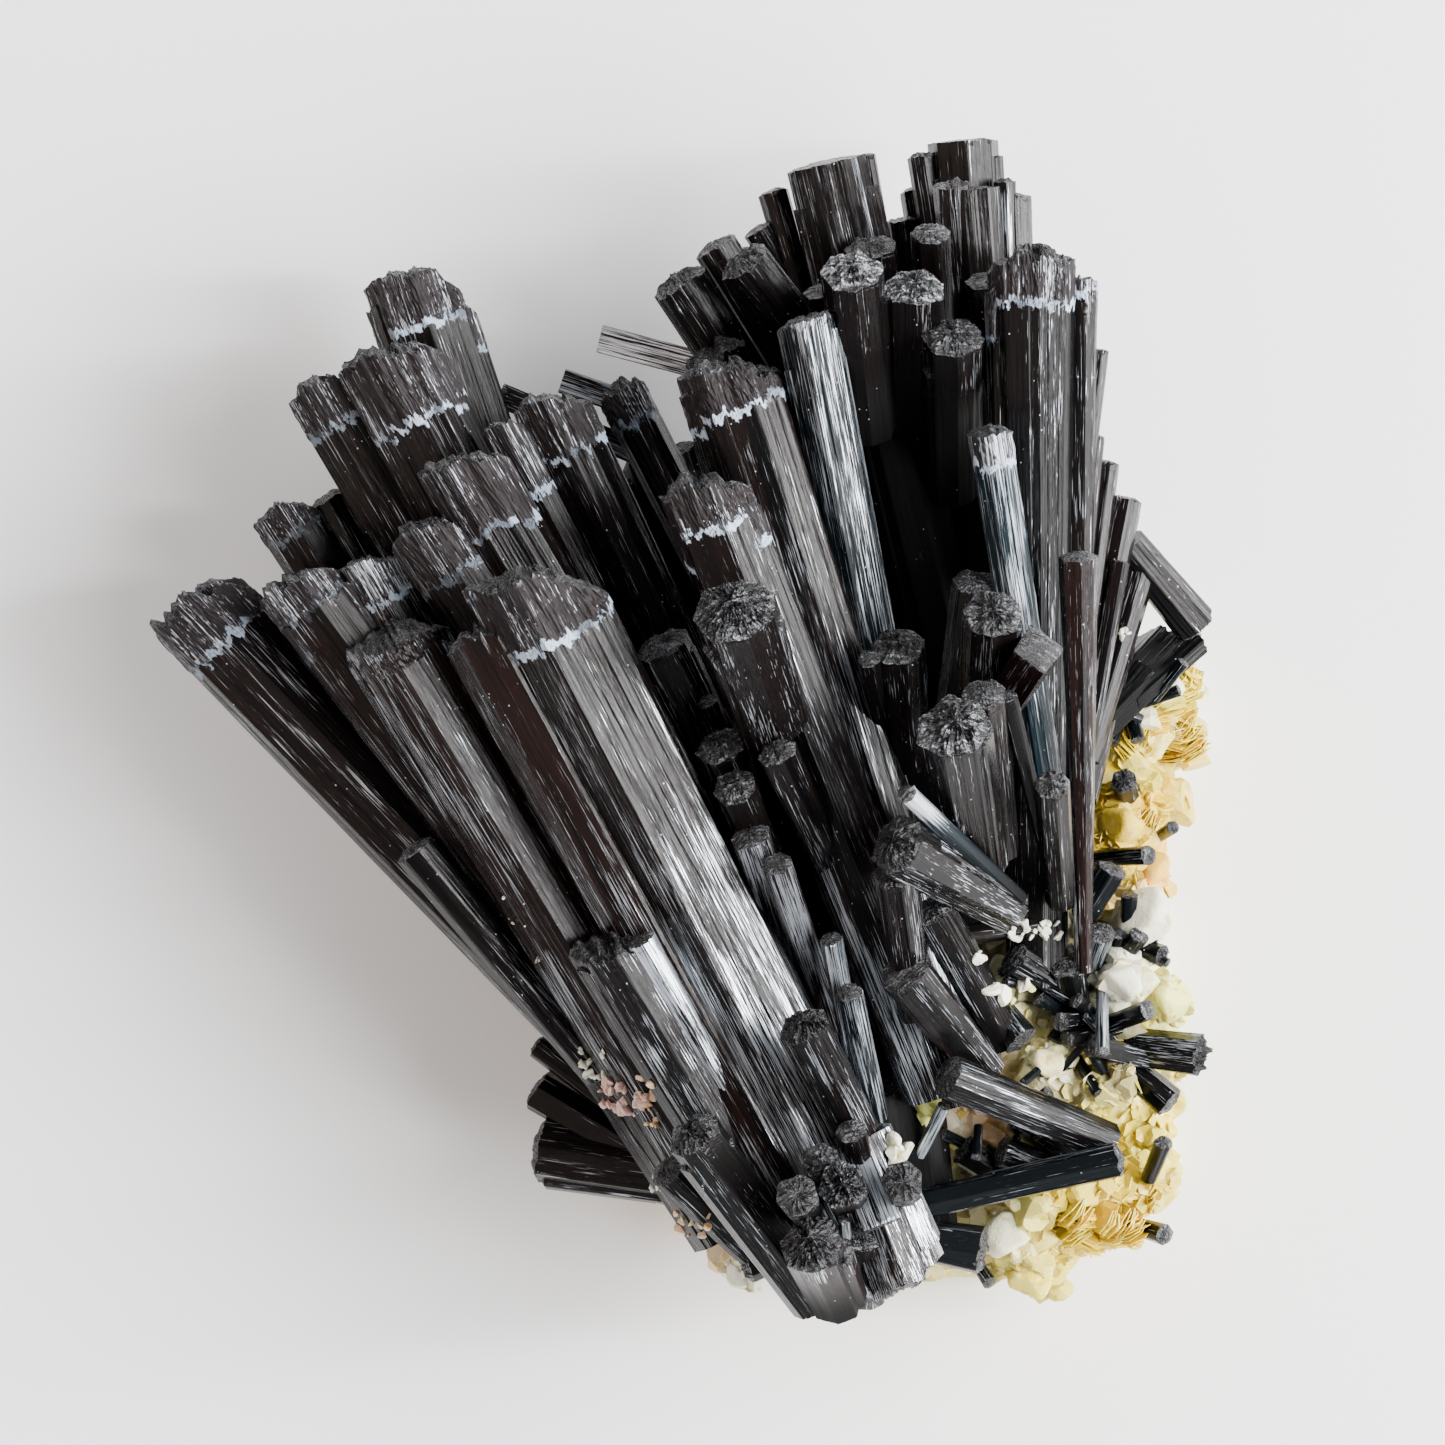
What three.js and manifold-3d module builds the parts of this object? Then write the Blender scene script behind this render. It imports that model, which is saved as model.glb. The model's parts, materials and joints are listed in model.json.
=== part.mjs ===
import * as THREE from "three";
import { mergeVertices } from "three/addons/utils/BufferGeometryUtils.js";
import Module from "manifold-3d";

// A hand-sized schorl cluster: a fan of black striated prisms on a cream feldspar and mica matrix.
// It lies on its flat-cut back. +X is the specimen's right, +Y its top, +Z its displayed side.
// Millimetres; the origin is at the bottom centre of the whole specimen's box.

// Scale of the picture places below: this many picture pixels are one millimetre on the specimen.
const PIXELS_PER_MM = 17;
const PICTURE_MIDDLE_X = 695.1;
const PICTURE_MIDDLE_Y = 726.2;

// Shape of a prism: a rounded triangle in section, with a chipped end.
const TRIGONAL_SWELL = 0.07;
const FACE_JITTER = 0.28;
const ROOT_TAPER = 0.84;
const CHIP_SHARE = 0.3;

// Growth steps: narrower prisms grown along the side of a stout one, ending at other heights.
const STEP_MIN_WIDTH = 6.0;
const STEP_WIDTH_SHARE = 0.62;
const STEP_OFFSET_SHARE = 0.24;
const STEP_DROP_MM = 1.1;

// Narrower prisms than this have five faces, others six, and the stout ones eight.
const SMALL_WIDTH = 1.7;

// Clearance that the matrix and its neighbours keep to each other.
const GAP_MM = 0.3;

// Matrix lumps are blunt polyhedra, dented by this share of their radius.
const LUMP_DENT = 0.22;

// The body of the matrix under the lumps.
const SLAB_THICKNESS_MM = 6.2;
const SLAB_SLOPE_MM = 2.2;
const SLAB_UNEVEN_MM = 1.6;

// A mica book is a thick six-sided plate.
const BOOK_THICKNESS_MM = 1.0;

const SCHORL = new THREE.MeshStandardMaterial({ color: 0x17161a, roughness: 0.38, metalness: 0 });
const FELDSPAR = new THREE.MeshStandardMaterial({ color: 0xdcceab, roughness: 0.75, metalness: 0 });
const MICA = new THREE.MeshStandardMaterial({ color: 0xd9a84e, roughness: 0.4, metalness: 0 });

const wasm = await Module();
wasm.setup();

// A place named by its picture pixels and its height above the rest face.
function at(pictureX, pictureY, height) {
  return new THREE.Vector3(
    (pictureX - PICTURE_MIDDLE_X) / PIXELS_PER_MM,
    (PICTURE_MIDDLE_Y - pictureY) / PIXELS_PER_MM,
    height,
  );
}

// A repeatable stream of numbers from 0 to 1.
function stream(seed) {
  let state = (seed * 2654435761) >>> 0;
  return () => {
    state = (state + 0x6d2b79f5) >>> 0;
    let mixed = Math.imul(state ^ (state >>> 15), 1 | state);
    mixed = (mixed + Math.imul(mixed ^ (mixed >>> 7), 61 | mixed)) ^ mixed;
    return ((mixed ^ (mixed >>> 14)) >>> 0) / 4294967296;
  };
}

// One prism of the table: where its end face and its root are, and its width across.
function crystal(tip, root, width, turn = 0) {
  return { tip, root, width, turn };
}

// The long prisms that spread to the upper left, front ones first.
const FAN = [
  crystal(at(515, 600, 25.5), at(850, 1240, 18), 8.6, 20),
  crystal(at(602, 937, 23.5), at(775, 1230, 17), 4.9, 35),
  crystal(at(387, 628, 21), at(735, 1207, 15), 6.2, 20),
  crystal(at(372, 572, 18), at(520, 830, 16.5), 3.8, 0),
  crystal(at(462, 467, 20), at(880, 1180, 14), 4.8, 10),
  crystal(at(430, 532, 19.5), at(724, 993, 15.7), 4.9, 30),
  crystal(at(508, 434, 17.5), at(750, 900, 14.6), 2.7, 0),
  crystal(at(552, 405, 17), at(789, 905, 14.2), 4.2, 15),
  crystal(at(390, 357, 15), at(800, 1150, 12), 5.9, 25),
  crystal(at(325, 390, 13.5), at(637, 929, 12.1), 4.6, 5),
  crystal(at(410, 279, 10), at(700, 1130, 9), 5.5, 20),
  crystal(at(283, 510, 11), at(588, 990, 10.4), 3.9, 10),
  crystal(at(325, 495, 10.5), at(544, 876, 10.4), 3.0, 40),
  crystal(at(300, 585, 18), at(632, 1035, 15), 4.9, 15),
  crystal(at(190, 605, 14), at(743, 1181, 13), 6.3, 30),
  crystal(at(413, 847, 18.5), at(600, 1075, 15), 2.4, 0),
  crystal(at(560, 960, 13.5), at(730, 1235, 12), 5.2, 20),
  crystal(at(537, 1153, 7), at(790, 1192, 9.5), 4.0, 50),
  crystal(at(535, 1092, 7.5), at(700, 1190, 9), 2.6, 0),
  crystal(at(535, 1047, 9), at(680, 1160, 10), 1.6, 0),
];

// The tuft at the top: stubs that lean towards the viewer in front of tall blocks.
const TUFT = [
  crystal(at(678, 277, 16), at(860, 560, 12), 3.4, 20),
  crystal(at(713, 243, 14.5), at(860, 480, 12), 2.6, 0),
  crystal(at(742, 260, 19.5), at(870, 420, 14), 3.1, 30),
  crystal(at(757, 226, 12.5), at(840, 360, 11), 1.8, 0),
  crystal(at(826, 160, 14), at(948, 680, 12.6), 5.0, 55),
  crystal(at(773, 188, 12), at(845, 440, 12.6), 1.8, 0),
  crystal(at(866, 152, 13), at(925, 480, 12.9), 1.2, 0),
  crystal(at(850, 272, 24.5), at(868, 430, 16.5), 3.6, 0),
  crystal(at(870, 245, 18), at(895, 430, 12), 3.0, 25),
  crystal(at(817, 291, 20), at(852, 420, 15), 1.6, 0),
  crystal(at(914, 287, 22), at(915, 440, 14), 3.3, 30),
  crystal(at(951, 337, 22), at(955, 490, 14), 3.4, 10),
  crystal(at(930, 233, 20), at(942, 420, 12.5), 2.3, 0),
  crystal(at(965, 136, 10), at(1015, 900, 10), 4.2, 45),
  crystal(at(918, 184, 9), at(970, 520, 9.6), 2.0, 0),
  crystal(at(968, 186, 13.5), at(1000, 580, 12.4), 3.8, 20),
  crystal(at(1016, 192, 12), at(1029, 540, 11.6), 1.8, 0),
  crystal(at(904, 215, 9.5), at(946, 520, 9.4), 2.2, 0),
  crystal(at(712, 346, 17), at(850, 640, 13), 3.8, 30),
  crystal(at(625, 397, 12), at(880, 900, 13.4), 2.6, 0),
  crystal(at(655, 450, 11), at(820, 800, 10), 2.4, 20),
  crystal(at(602, 338, 12.5), at(751, 378, 14.5), 0.95, 0),
  crystal(at(562, 379, 11.5), at(645, 408, 12), 1.1, 0),
  crystal(at(498, 392, 9.5), at(668, 464, 10.8), 0.9, 0),
];

// The upright columns on the right and the thin ones beside them.
const COLUMNS = [
  crystal(at(1030, 252, 21.5), at(1038, 1000, 15), 4.7, 20),
  crystal(at(985, 279, 20), at(1010, 420, 16), 2.4, 0),
  crystal(at(1080, 279, 20), at(1078, 985, 16), 2.1, 15),
  crystal(at(1060, 259, 19.5), at(1064, 500, 18.5), 1.7, 0),
  crystal(at(1101, 350, 18), at(1084, 500, 18.5), 0.9, 0),
  crystal(at(1107, 462, 16.5), at(1085, 640, 17.5), 1.5, 0),
  crystal(at(1097, 436, 18), at(1083, 600, 18), 0.9, 0),
  crystal(at(1075, 557, 24), at(1081, 980, 16.5), 2.2, 30),
  crystal(at(1127, 498, 15.5), at(1084, 720, 17), 1.9, 10),
  crystal(at(1120, 561, 17), at(1084, 770, 17), 1.2, 0),
  crystal(at(1148, 549, 13.5), at(1086, 760, 16), 2.0, 20),
  crystal(at(1200, 627, 12), at(1128, 543, 14.5), 2.6, 10),
  crystal(at(1178, 650, 9.5), at(1080, 810, 15.5), 2.6, 40),
  crystal(at(1120, 642, 12), at(1082, 800, 16), 2.2, 0),
  crystal(at(805, 322, 23), at(886, 730, 16.2), 3.6, 25),
  crystal(at(733, 374, 21), at(960, 1100, 14), 6.1, 20),
  crystal(at(704, 489, 25), at(940, 1090, 17), 5.2, 35),
  crystal(at(986, 430, 25.5), at(1048, 810, 18), 2.4, 40),
];

// The short crystals in the middle, most of them leaning towards the viewer.
const STUBS = [
  crystal(at(733, 608, 31), at(772, 722, 24), 5.0, 25),
  crystal(at(661, 642, 22), at(740, 800, 17), 3.2, 0),
  crystal(at(707, 700, 22), at(745, 790, 18), 1.3, 0),
  crystal(at(720, 743, 24), at(770, 860, 18), 2.9, 20),
  crystal(at(775, 750, 27), at(835, 880, 20), 2.3, 0),
  crystal(at(734, 785, 26), at(780, 890, 18), 2.6, 30),
  crystal(at(750, 833, 25), at(800, 985, 16.5), 2.3, 20),
  crystal(at(776, 861, 26), at(838, 1040, 15), 1.8, 0),
  crystal(at(830, 936, 24), at(868, 1130, 15.5), 1.3, 0),
  crystal(at(849, 989, 24), at(880, 1125, 16), 1.5, 0),
  crystal(at(893, 841, 30), at(1035, 925, 18.5), 3.3, 20),
  crystal(at(893, 870, 28), at(915, 1010, 20), 2.6, 30),
  crystal(at(903, 792, 32), at(1025, 905, 20.5), 1.2, 0),
  crystal(at(950, 724, 32.5), at(975, 860, 21), 4.3, 0),
  crystal(at(980, 693, 29), at(1000, 850, 20), 2.6, 20),
  crystal(at(990, 613, 28), at(985, 775, 12.5), 3.3, 30),
  crystal(at(976, 581, 22), at(955, 730, 16), 2.8, 0),
  crystal(at(1027, 647, 29), at(978, 750, 19), 2.5, 30),
  crystal(at(897, 644, 23), at(910, 760, 16), 3.0, 0),
  crystal(at(868, 659, 24), at(888, 745, 17), 1.3, 0),
  crystal(at(918, 547, 14), at(955, 780, 12), 2.4, 20),
  crystal(at(1004, 696, 28), at(1056, 890, 18), 1.1, 0),
  crystal(at(1048, 782, 27), at(1060, 900, 17.5), 2.1, 0),
  crystal(at(803, 1019, 26.5), at(890, 1195, 19), 3.3, 35),
  crystal(at(903, 969, 24), at(985, 1070, 17), 3.0, 30),
  crystal(at(930, 907, 24), at(1005, 1040, 17), 2.6, 0),
  crystal(at(850, 1126, 24.5), at(872, 1205, 19), 1.8, 0),
  crystal(at(945, 1074, 20.5), at(1110, 1142, 15), 2.7, 20),
  crystal(at(1018, 1036, 20), at(985, 1000, 15), 2.3, 0),
  crystal(at(946, 936, 17.5), at(1040, 926, 16.5), 1.3, 0),
];

// The stubby crystals at the foot of the fan.
const FOOT = [
  crystal(at(692, 1129, 26), at(815, 1300, 18), 3.3, 30),
  crystal(at(667, 1167, 21), at(750, 1250, 17), 2.4, 0),
  crystal(at(744, 1266, 14.5), at(820, 1235, 14), 2.4, 20),
  crystal(at(796, 1189, 28.5), at(820, 1245, 20), 2.4, 0),
  crystal(at(818, 1158, 26), at(850, 1225, 19), 1.9, 20),
  crystal(at(836, 1183, 27), at(855, 1245, 19), 2.2, 0),
  crystal(at(809, 1236, 29), at(822, 1294, 18), 3.6, 15),
  crystal(at(901, 1179, 27), at(925, 1250, 19), 2.0, 0),
  crystal(at(897, 1201, 24), at(928, 1285, 17), 2.8, 30),
  crystal(at(885, 1233, 23), at(903, 1285, 17), 1.6, 0),
  crystal(at(858, 1191, 23), at(880, 1255, 17), 2.2, 20),
  crystal(at(862, 1233, 24), at(868, 1298, 16), 2.6, 0),
  crystal(at(800, 1150, 15.5), at(870, 1290, 13), 5.9, 0),
  crystal(at(880, 1090, 14), at(908, 1235, 13.5), 5.9, 30),
  crystal(at(984, 1252, 15.5), at(915, 1240, 15), 2.9, 20),
  crystal(at(1122, 1158, 17), at(915, 1206, 15.5), 2.1, 10),
  crystal(at(944, 1105, 18), at(912, 1172, 15), 0.8, 0),
];

// The stout crystals on the far side, which close the gaps between the ones in front.
const BACK = [
  crystal(at(664, 450, 8), at(880, 1140, 10.5), 5.9, 10),
  crystal(at(900, 470, 8), at(945, 1090, 10.5), 5.9, 0),
];

// Crystals that stand on the matrix by themselves, clear of the spray.
const STRAYS = [
  crystal(at(1126, 781, 13), at(1134, 800, 7.5), 1.5, 0),
  crystal(at(1150, 855, 15), at(1108, 858, 11), 1.0, 0),
  crystal(at(1176, 828, 11), at(1160, 840, 8), 0.8, 0),
  crystal(at(1207, 1058, 13), at(1160, 1058, 11), 2.6, 20),
  crystal(at(1174, 1106, 12), at(1135, 1090, 11), 1.5, 0),
  crystal(at(1149, 1010, 16.5), at(1112, 1018, 11), 0.9, 0),
  crystal(at(1060, 1022, 16.5), at(1095, 1005, 11), 0.9, 20),
  crystal(at(1102, 1052, 18), at(1100, 1082, 12), 0.8, 0),
  crystal(at(1172, 1240, 11.5), at(1160, 1215, 7), 1.3, 0),
  crystal(at(1166, 1144, 12.5), at(1155, 1172, 9), 0.9, 0),
  crystal(at(1103, 932, 16), at(1104, 975, 10), 1.3, 0),
];

const SPRAY = [...FAN, ...TUFT, ...COLUMNS, ...STUBS, ...FOOT, ...BACK];

// Plan of the matrix slab, clockwise from the lower left, hidden under the fan on its left half.
const SLAB_PLAN = [
  at(575, 1130, 0),
  at(660, 900, 0),
  at(790, 720, 0),
  at(1000, 650, 0),
  at(1150, 655, 0),
  at(1200, 690, 0),
  at(1185, 780, 0),
  at(1165, 870, 0),
  at(1165, 960, 0),
  at(1182, 1040, 0),
  at(1180, 1180, 0),
  at(1130, 1245, 0),
  at(1030, 1285, 0),
  at(820, 1290, 0),
  at(680, 1215, 0),
];

// One feldspar or pale mica lump of the matrix: its middle and its radius.
function lump(middle, radius) {
  return { middle, radius };
}

const LUMPS = [
  lump(at(1150, 705, 7), 3.0),
  lump(at(1185, 735, 6), 2.0),
  lump(at(1130, 775, 8), 2.9),
  lump(at(1165, 800, 6), 1.9),
  lump(at(1120, 840, 9), 2.8),
  lump(at(1145, 885, 9), 2.3),
  lump(at(1142, 930, 11), 2.2),
  lump(at(1122, 985, 13), 2.4),
  lump(at(1172, 1000, 10), 2.1),
  lump(at(1020, 998, 13), 2.2),
  lump(at(1052, 1058, 13), 2.1),
  lump(at(1118, 1080, 13), 1.9),
  lump(at(1088, 1090, 12), 1.5),
  lump(at(930, 1118, 13), 1.5),
  lump(at(988, 1112, 13), 1.8),
  lump(at(897, 1140, 12), 1.5),
  lump(at(1020, 1250, 9), 3.0),
  lump(at(1060, 1150, 9), 3.2),
  lump(at(1040, 1200, 11), 2.4),
  lump(at(1100, 1205, 10), 2.6),
  lump(at(1150, 1185, 8), 2.3),
  lump(at(1155, 1110, 8), 2.4),
  lump(at(1130, 1040, 10), 2.6),
  lump(at(1050, 1275, 6), 2.0),
  lump(at(700, 1215, 8), 2.0),
  lump(at(745, 1268, 6), 2.0),
  lump(at(1060, 930, 9), 3.2),
  lump(at(1080, 1010, 9), 3.2),
  lump(at(620, 1110, 11), 1.8),
];

// One mica book: its middle, its radius, and how many degrees it leans and turns.
function book(middle, radius, lean, heading) {
  return { middle, radius, lean, heading };
}

// The golden books along the right edge, one grown into the next.
const EDGE_BOOKS = [
  book(at(1191, 668, 7), 1.7, 60, 10),
  book(at(1195, 690, 6.5), 1.7, 40, 40),
  book(at(1196, 712, 6), 1.7, 65, -10),
  book(at(1193, 733, 6), 1.7, 40, 20),
  book(at(1184, 750, 6.5), 1.6, 60, 60),
];

// The golden rosette at the lower right.
const FOOT_BOOKS = [
  book(at(1080, 1222, 11.5), 1.7, 50, 20),
  book(at(1104, 1228, 11), 1.7, 70, 60),
  book(at(1128, 1230, 10.5), 1.7, 45, -30),
];

// A geometry whose faces share their corners.
function sharedCorners(geometry) {
  geometry.deleteAttribute("normal");
  geometry.deleteAttribute("uv");
  return mergeVertices(geometry, 1e-4);
}

// A closed three.js geometry as a solid.
function toSolid(geometry) {
  const merged = sharedCorners(geometry);
  const vertProperties = new Float32Array(merged.attributes.position.array);
  const triVerts = new Uint32Array(merged.index.array);
  return new wasm.Manifold(new wasm.Mesh({ numProp: 3, vertProperties, triVerts }));
}

// A solid as a named mesh.
function toMesh(name, solid, material) {
  const { vertProperties, triVerts } = solid.getMesh();
  const geometry = new THREE.BufferGeometry();
  geometry.setAttribute("position", new THREE.BufferAttribute(new Float32Array(vertProperties), 3));
  geometry.setIndex(new THREE.BufferAttribute(new Uint32Array(triVerts), 1));
  geometry.computeVertexNormals();
  const mesh = new THREE.Mesh(geometry, material);
  mesh.name = name;
  return mesh;
}

function join(solids) {
  return solids.reduce((whole, solid) => whole.add(solid));
}

// Axes of a prism: across, up towards the displayed side, and along.
function prismAxes(tip, root) {
  const along = tip.clone().sub(root).normalize();
  const up = new THREE.Vector3(0, 0, 1);
  up.addScaledVector(along, -along.dot(up)).normalize();
  const across = up.clone().cross(along);
  return { across, up, along };
}

// The section of a prism: a rounded triangle with a few unequal flat faces.
function sectionCorners(radius, turn, sides, random) {
  const corners = [];
  for (let corner = 0; corner < sides; corner += 1) {
    const even = (corner / sides) * 2 * Math.PI;
    const angle = even + (random() - 0.5) * FACE_JITTER + THREE.MathUtils.degToRad(turn);
    const reach = radius * (1 + TRIGONAL_SWELL * Math.cos(3 * even));
    corners.push(new THREE.Vector2(reach * Math.cos(angle), reach * Math.sin(angle)));
  }
  return corners;
}

// One prism, grown outwards by a clearance where it is used to cut its neighbour.
function prismSolid(tip, root, width, turn, seed, clearance) {
  const random = stream(seed);
  const sides = width > STEP_MIN_WIDTH ? 8 : width > SMALL_WIDTH ? 6 : 5;
  const length = tip.distanceTo(root) + 2 * clearance;
  const corners = sectionCorners(width / 2 + clearance, turn, sides, random);
  const chips = corners.map(() => (random() - 0.35) * CHIP_SHARE * width / 2);
  const geometry = new THREE.ExtrudeGeometry(new THREE.Shape(corners), { depth: length, bevelEnabled: false });
  const place = geometry.attributes.position;
  for (let i = 0; i < place.count; i += 1) {
    if (place.getZ(i) > length / 2) {
      const nearest = corners.map((corner) => Math.hypot(corner.x - place.getX(i), corner.y - place.getY(i)));
      place.setZ(i, length + chips[nearest.indexOf(Math.min(...nearest))]);
    } else {
      place.setX(i, place.getX(i) * ROOT_TAPER);
      place.setY(i, place.getY(i) * ROOT_TAPER);
    }
  }
  geometry.translate(0, 0, -clearance);
  const { across, up, along } = prismAxes(tip, root);
  geometry.applyMatrix4(new THREE.Matrix4().makeBasis(across, up, along).setPosition(root));
  return toSolid(geometry);
}

// A crystal: its main prism and, on a stout one, two growth steps along its sides.
function crystalSolid({ tip, root, width, turn }, seed, clearance = 0) {
  const parts = [prismSolid(tip, root, width, turn, seed, clearance)];
  if (width >= STEP_MIN_WIDTH) {
    const { across, along } = prismAxes(tip, root);
    const random = stream(seed + 500);
    for (const side of [-1, 1]) {
      const drop = STEP_DROP_MM * (0.4 + random()) * Math.min(1, width / 5);
      const shift = across.clone().multiplyScalar(side * STEP_OFFSET_SHARE * width);
      const stepTip = tip.clone().add(shift).addScaledVector(along, -drop);
      const stepRoot = root.clone().addScaledVector(shift, ROOT_TAPER);
      const stepWidth = STEP_WIDTH_SHARE * width;
      parts.push(prismSolid(stepTip, stepRoot, stepWidth, turn + 40 * side, seed + 7 * side + 900, clearance));
    }
  }
  return join(parts);
}

function lumpSolid({ middle, radius }, seed) {
  const random = stream(seed + 3000);
  const blunt = sharedCorners(new THREE.IcosahedronGeometry(radius, 0));
  const place = blunt.attributes.position;
  for (let i = 0; i < place.count; i += 1) {
    const share = 1 + (random() - 0.6) * LUMP_DENT;
    place.setXYZ(i, place.getX(i) * share, place.getY(i) * share, place.getZ(i) * share);
  }
  blunt.translate(middle.x, middle.y, middle.z);
  return toSolid(blunt);
}

// The body of the matrix: a loaf with an uneven rim and a sloping top edge.
function slabSolid() {
  const random = stream(77);
  const plan = new THREE.Shape(SLAB_PLAN.map((corner) => new THREE.Vector2(corner.x, corner.y)));
  const loaf = sharedCorners(new THREE.ExtrudeGeometry(plan, {
    depth: SLAB_THICKNESS_MM - SLAB_SLOPE_MM,
    bevelThickness: SLAB_SLOPE_MM,
    bevelSize: SLAB_SLOPE_MM * 0.7,
    bevelOffset: -SLAB_SLOPE_MM * 0.7,
    bevelSegments: 1,
  }));
  const place = loaf.attributes.position;
  for (let i = 0; i < place.count; i += 1) {
    place.setX(i, place.getX(i) + (random() - 0.5) * SLAB_UNEVEN_MM);
    place.setY(i, place.getY(i) + (random() - 0.5) * SLAB_UNEVEN_MM);
    place.setZ(i, place.getZ(i) + (random() - 0.5) * SLAB_UNEVEN_MM * 0.5);
  }
  return toSolid(loaf);
}

// A mica book, grown outwards by a clearance where it is used to cut its neighbour.
function bookSolid({ middle, radius, lean, heading }, clearance) {
  const thickness = BOOK_THICKNESS_MM + 2 * clearance;
  const geometry = new THREE.CylinderGeometry(radius + clearance, radius + clearance, thickness, 6, 1);
  geometry.rotateX(THREE.MathUtils.degToRad(90 - lean));
  geometry.rotateZ(THREE.MathUtils.degToRad(heading));
  geometry.translate(middle.x, middle.y, middle.z);
  return toSolid(geometry);
}

function booksSolid(books, clearance = 0) {
  return join(books.map((row) => bookSolid(row, clearance)));
}

// A block that holds everything below the rest face.
function belowRestFace() {
  const block = new THREE.BoxGeometry(200, 200, 20);
  block.translate(0, 0, -10);
  return toSolid(block);
}

// The largest connected body of a solid, its loose splinters dropped.
function largestBody(solid) {
  const bodies = solid.decompose();
  return bodies.reduce((best, body) => (body.volume() > best.volume() ? body : best));
}

const floor = belowRestFace();

const spraySolid = join(SPRAY.map((row, index) => crystalSolid(row, index + 1))).subtract(floor);

const straySolids = STRAYS.map((row, index) => crystalSolid(row, index + 301));

// The space that the crystals and the books keep clear in the matrix.
function clearSpace() {
  const sprayRoom = SPRAY.map((row, index) => crystalSolid(row, index + 1, GAP_MM));
  const strayRoom = STRAYS.map((row, index) => crystalSolid(row, index + 301, GAP_MM));
  const bookRoom = [booksSolid(EDGE_BOOKS, GAP_MM), booksSolid(FOOT_BOOKS, GAP_MM)];
  return join([...sprayRoom, ...strayRoom, ...bookRoom]);
}

const matrixWhole = join([slabSolid(), ...LUMPS.map((row, index) => lumpSolid(row, index))]);
const matrixSolid = largestBody(matrixWhole.subtract(floor).subtract(clearSpace()));

const cluster = new THREE.Group();
cluster.add(toMesh("schorl_spray", spraySolid, SCHORL));
cluster.add(toMesh("matrix", matrixSolid, FELDSPAR));
cluster.add(toMesh("golden_mica_edge", booksSolid(EDGE_BOOKS), MICA));
cluster.add(toMesh("golden_mica_foot", booksSolid(FOOT_BOOKS), MICA));
straySolids.forEach((solid, index) => {
  const number = String(index + 1).padStart(2, "0");
  cluster.add(toMesh(`stray_crystal_${number}`, solid, SCHORL));
});

export default cluster;
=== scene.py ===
# %% [markdown]
# # A schorl crystal cluster
# The specimen is a fan of black tourmaline prisms on a crumbly cream matrix. It lies on its back, and the
# camera looks straight down on it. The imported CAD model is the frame: it fixes each crystal's place and size.
# Every piece is then modelled again here, with the striations, jagged caps and scaly ends that the plain
# solids leave out.

import json
import math
from functools import partial

import bmesh
import bpy
import numpy as np
from mathutils import Euler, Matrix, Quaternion, Vector
from mathutils import noise as blender_noise

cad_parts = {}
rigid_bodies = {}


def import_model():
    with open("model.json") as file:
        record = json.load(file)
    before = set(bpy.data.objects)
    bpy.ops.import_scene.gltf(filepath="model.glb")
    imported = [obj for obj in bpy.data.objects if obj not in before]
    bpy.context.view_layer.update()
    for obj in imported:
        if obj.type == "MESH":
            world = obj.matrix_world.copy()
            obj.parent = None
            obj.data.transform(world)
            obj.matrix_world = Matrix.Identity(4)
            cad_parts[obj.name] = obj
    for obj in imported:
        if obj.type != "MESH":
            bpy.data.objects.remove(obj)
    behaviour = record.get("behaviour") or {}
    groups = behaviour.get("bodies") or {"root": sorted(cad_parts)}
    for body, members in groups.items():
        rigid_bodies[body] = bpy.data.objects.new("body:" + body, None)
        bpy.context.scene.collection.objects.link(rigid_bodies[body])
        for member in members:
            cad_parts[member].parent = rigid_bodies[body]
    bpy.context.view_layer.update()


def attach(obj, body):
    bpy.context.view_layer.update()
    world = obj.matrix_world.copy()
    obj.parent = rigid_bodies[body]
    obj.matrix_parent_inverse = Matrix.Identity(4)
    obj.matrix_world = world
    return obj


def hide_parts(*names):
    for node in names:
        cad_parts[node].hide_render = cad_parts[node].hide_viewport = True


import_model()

# %% [markdown]
# ## Places
# Each crystal is placed by where its tip and its root show in the picture and by how high they stand above
# the table. One function turns these into millimetres in the frame. Shapes are worked out in millimetres,
# which are easy to read, and turned into Blender's metres at the very end.

# %% Places and mesh data
PIXELS_PER_MM = 17
PICTURE_MIDDLE_X = 695.1
PICTURE_MIDDLE_Y = 726.2
MM = 0.001
ABOVE_ALL = 60


def at(picture_x, picture_y, height=0):
    """A place in the frame, in mm, from its picture pixels and its height above the table."""
    x = (picture_x - PICTURE_MIDDLE_X) / PIXELS_PER_MM
    y = (PICTURE_MIDDLE_Y - picture_y) / PIXELS_PER_MM
    return np.array([x, y, height])


def read(items, field, width=3):
    """One field of all the corners or faces of a mesh, a row for each."""
    flat = np.empty(width * len(items))
    items.foreach_get(field, flat)
    return flat.reshape(-1, width)


def keep(mesh, name, rows):
    """Keeps three numbers with each corner, or the same three with all, for the materials to read."""
    kept = mesh.attributes.new(name, "FLOAT_VECTOR", "POINT")
    rows = np.broadcast_to(np.array(rows, float), (len(mesh.vertices), 3))
    kept.data.foreach_set("vector", rows.ravel())


def surface_below(piece, x, y):
    """The height of a piece's top at a place, in mm, and its normal there, or None for both."""
    hit, place, normal, _ = piece.ray_cast(Vector((x, y, ABOVE_ALL)) * MM, Vector((0, 0, -1)))
    return (place.z / MM, np.array(normal)) if hit else (None, None)


def deselect():
    bpy.ops.object.select_all(action="DESELECT")


def switch_to(mode):
    bpy.ops.object.mode_set(mode=mode)


def add_object(name, data):
    made = bpy.data.objects.new(name, data)
    bpy.context.collection.objects.link(made)
    return made


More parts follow.
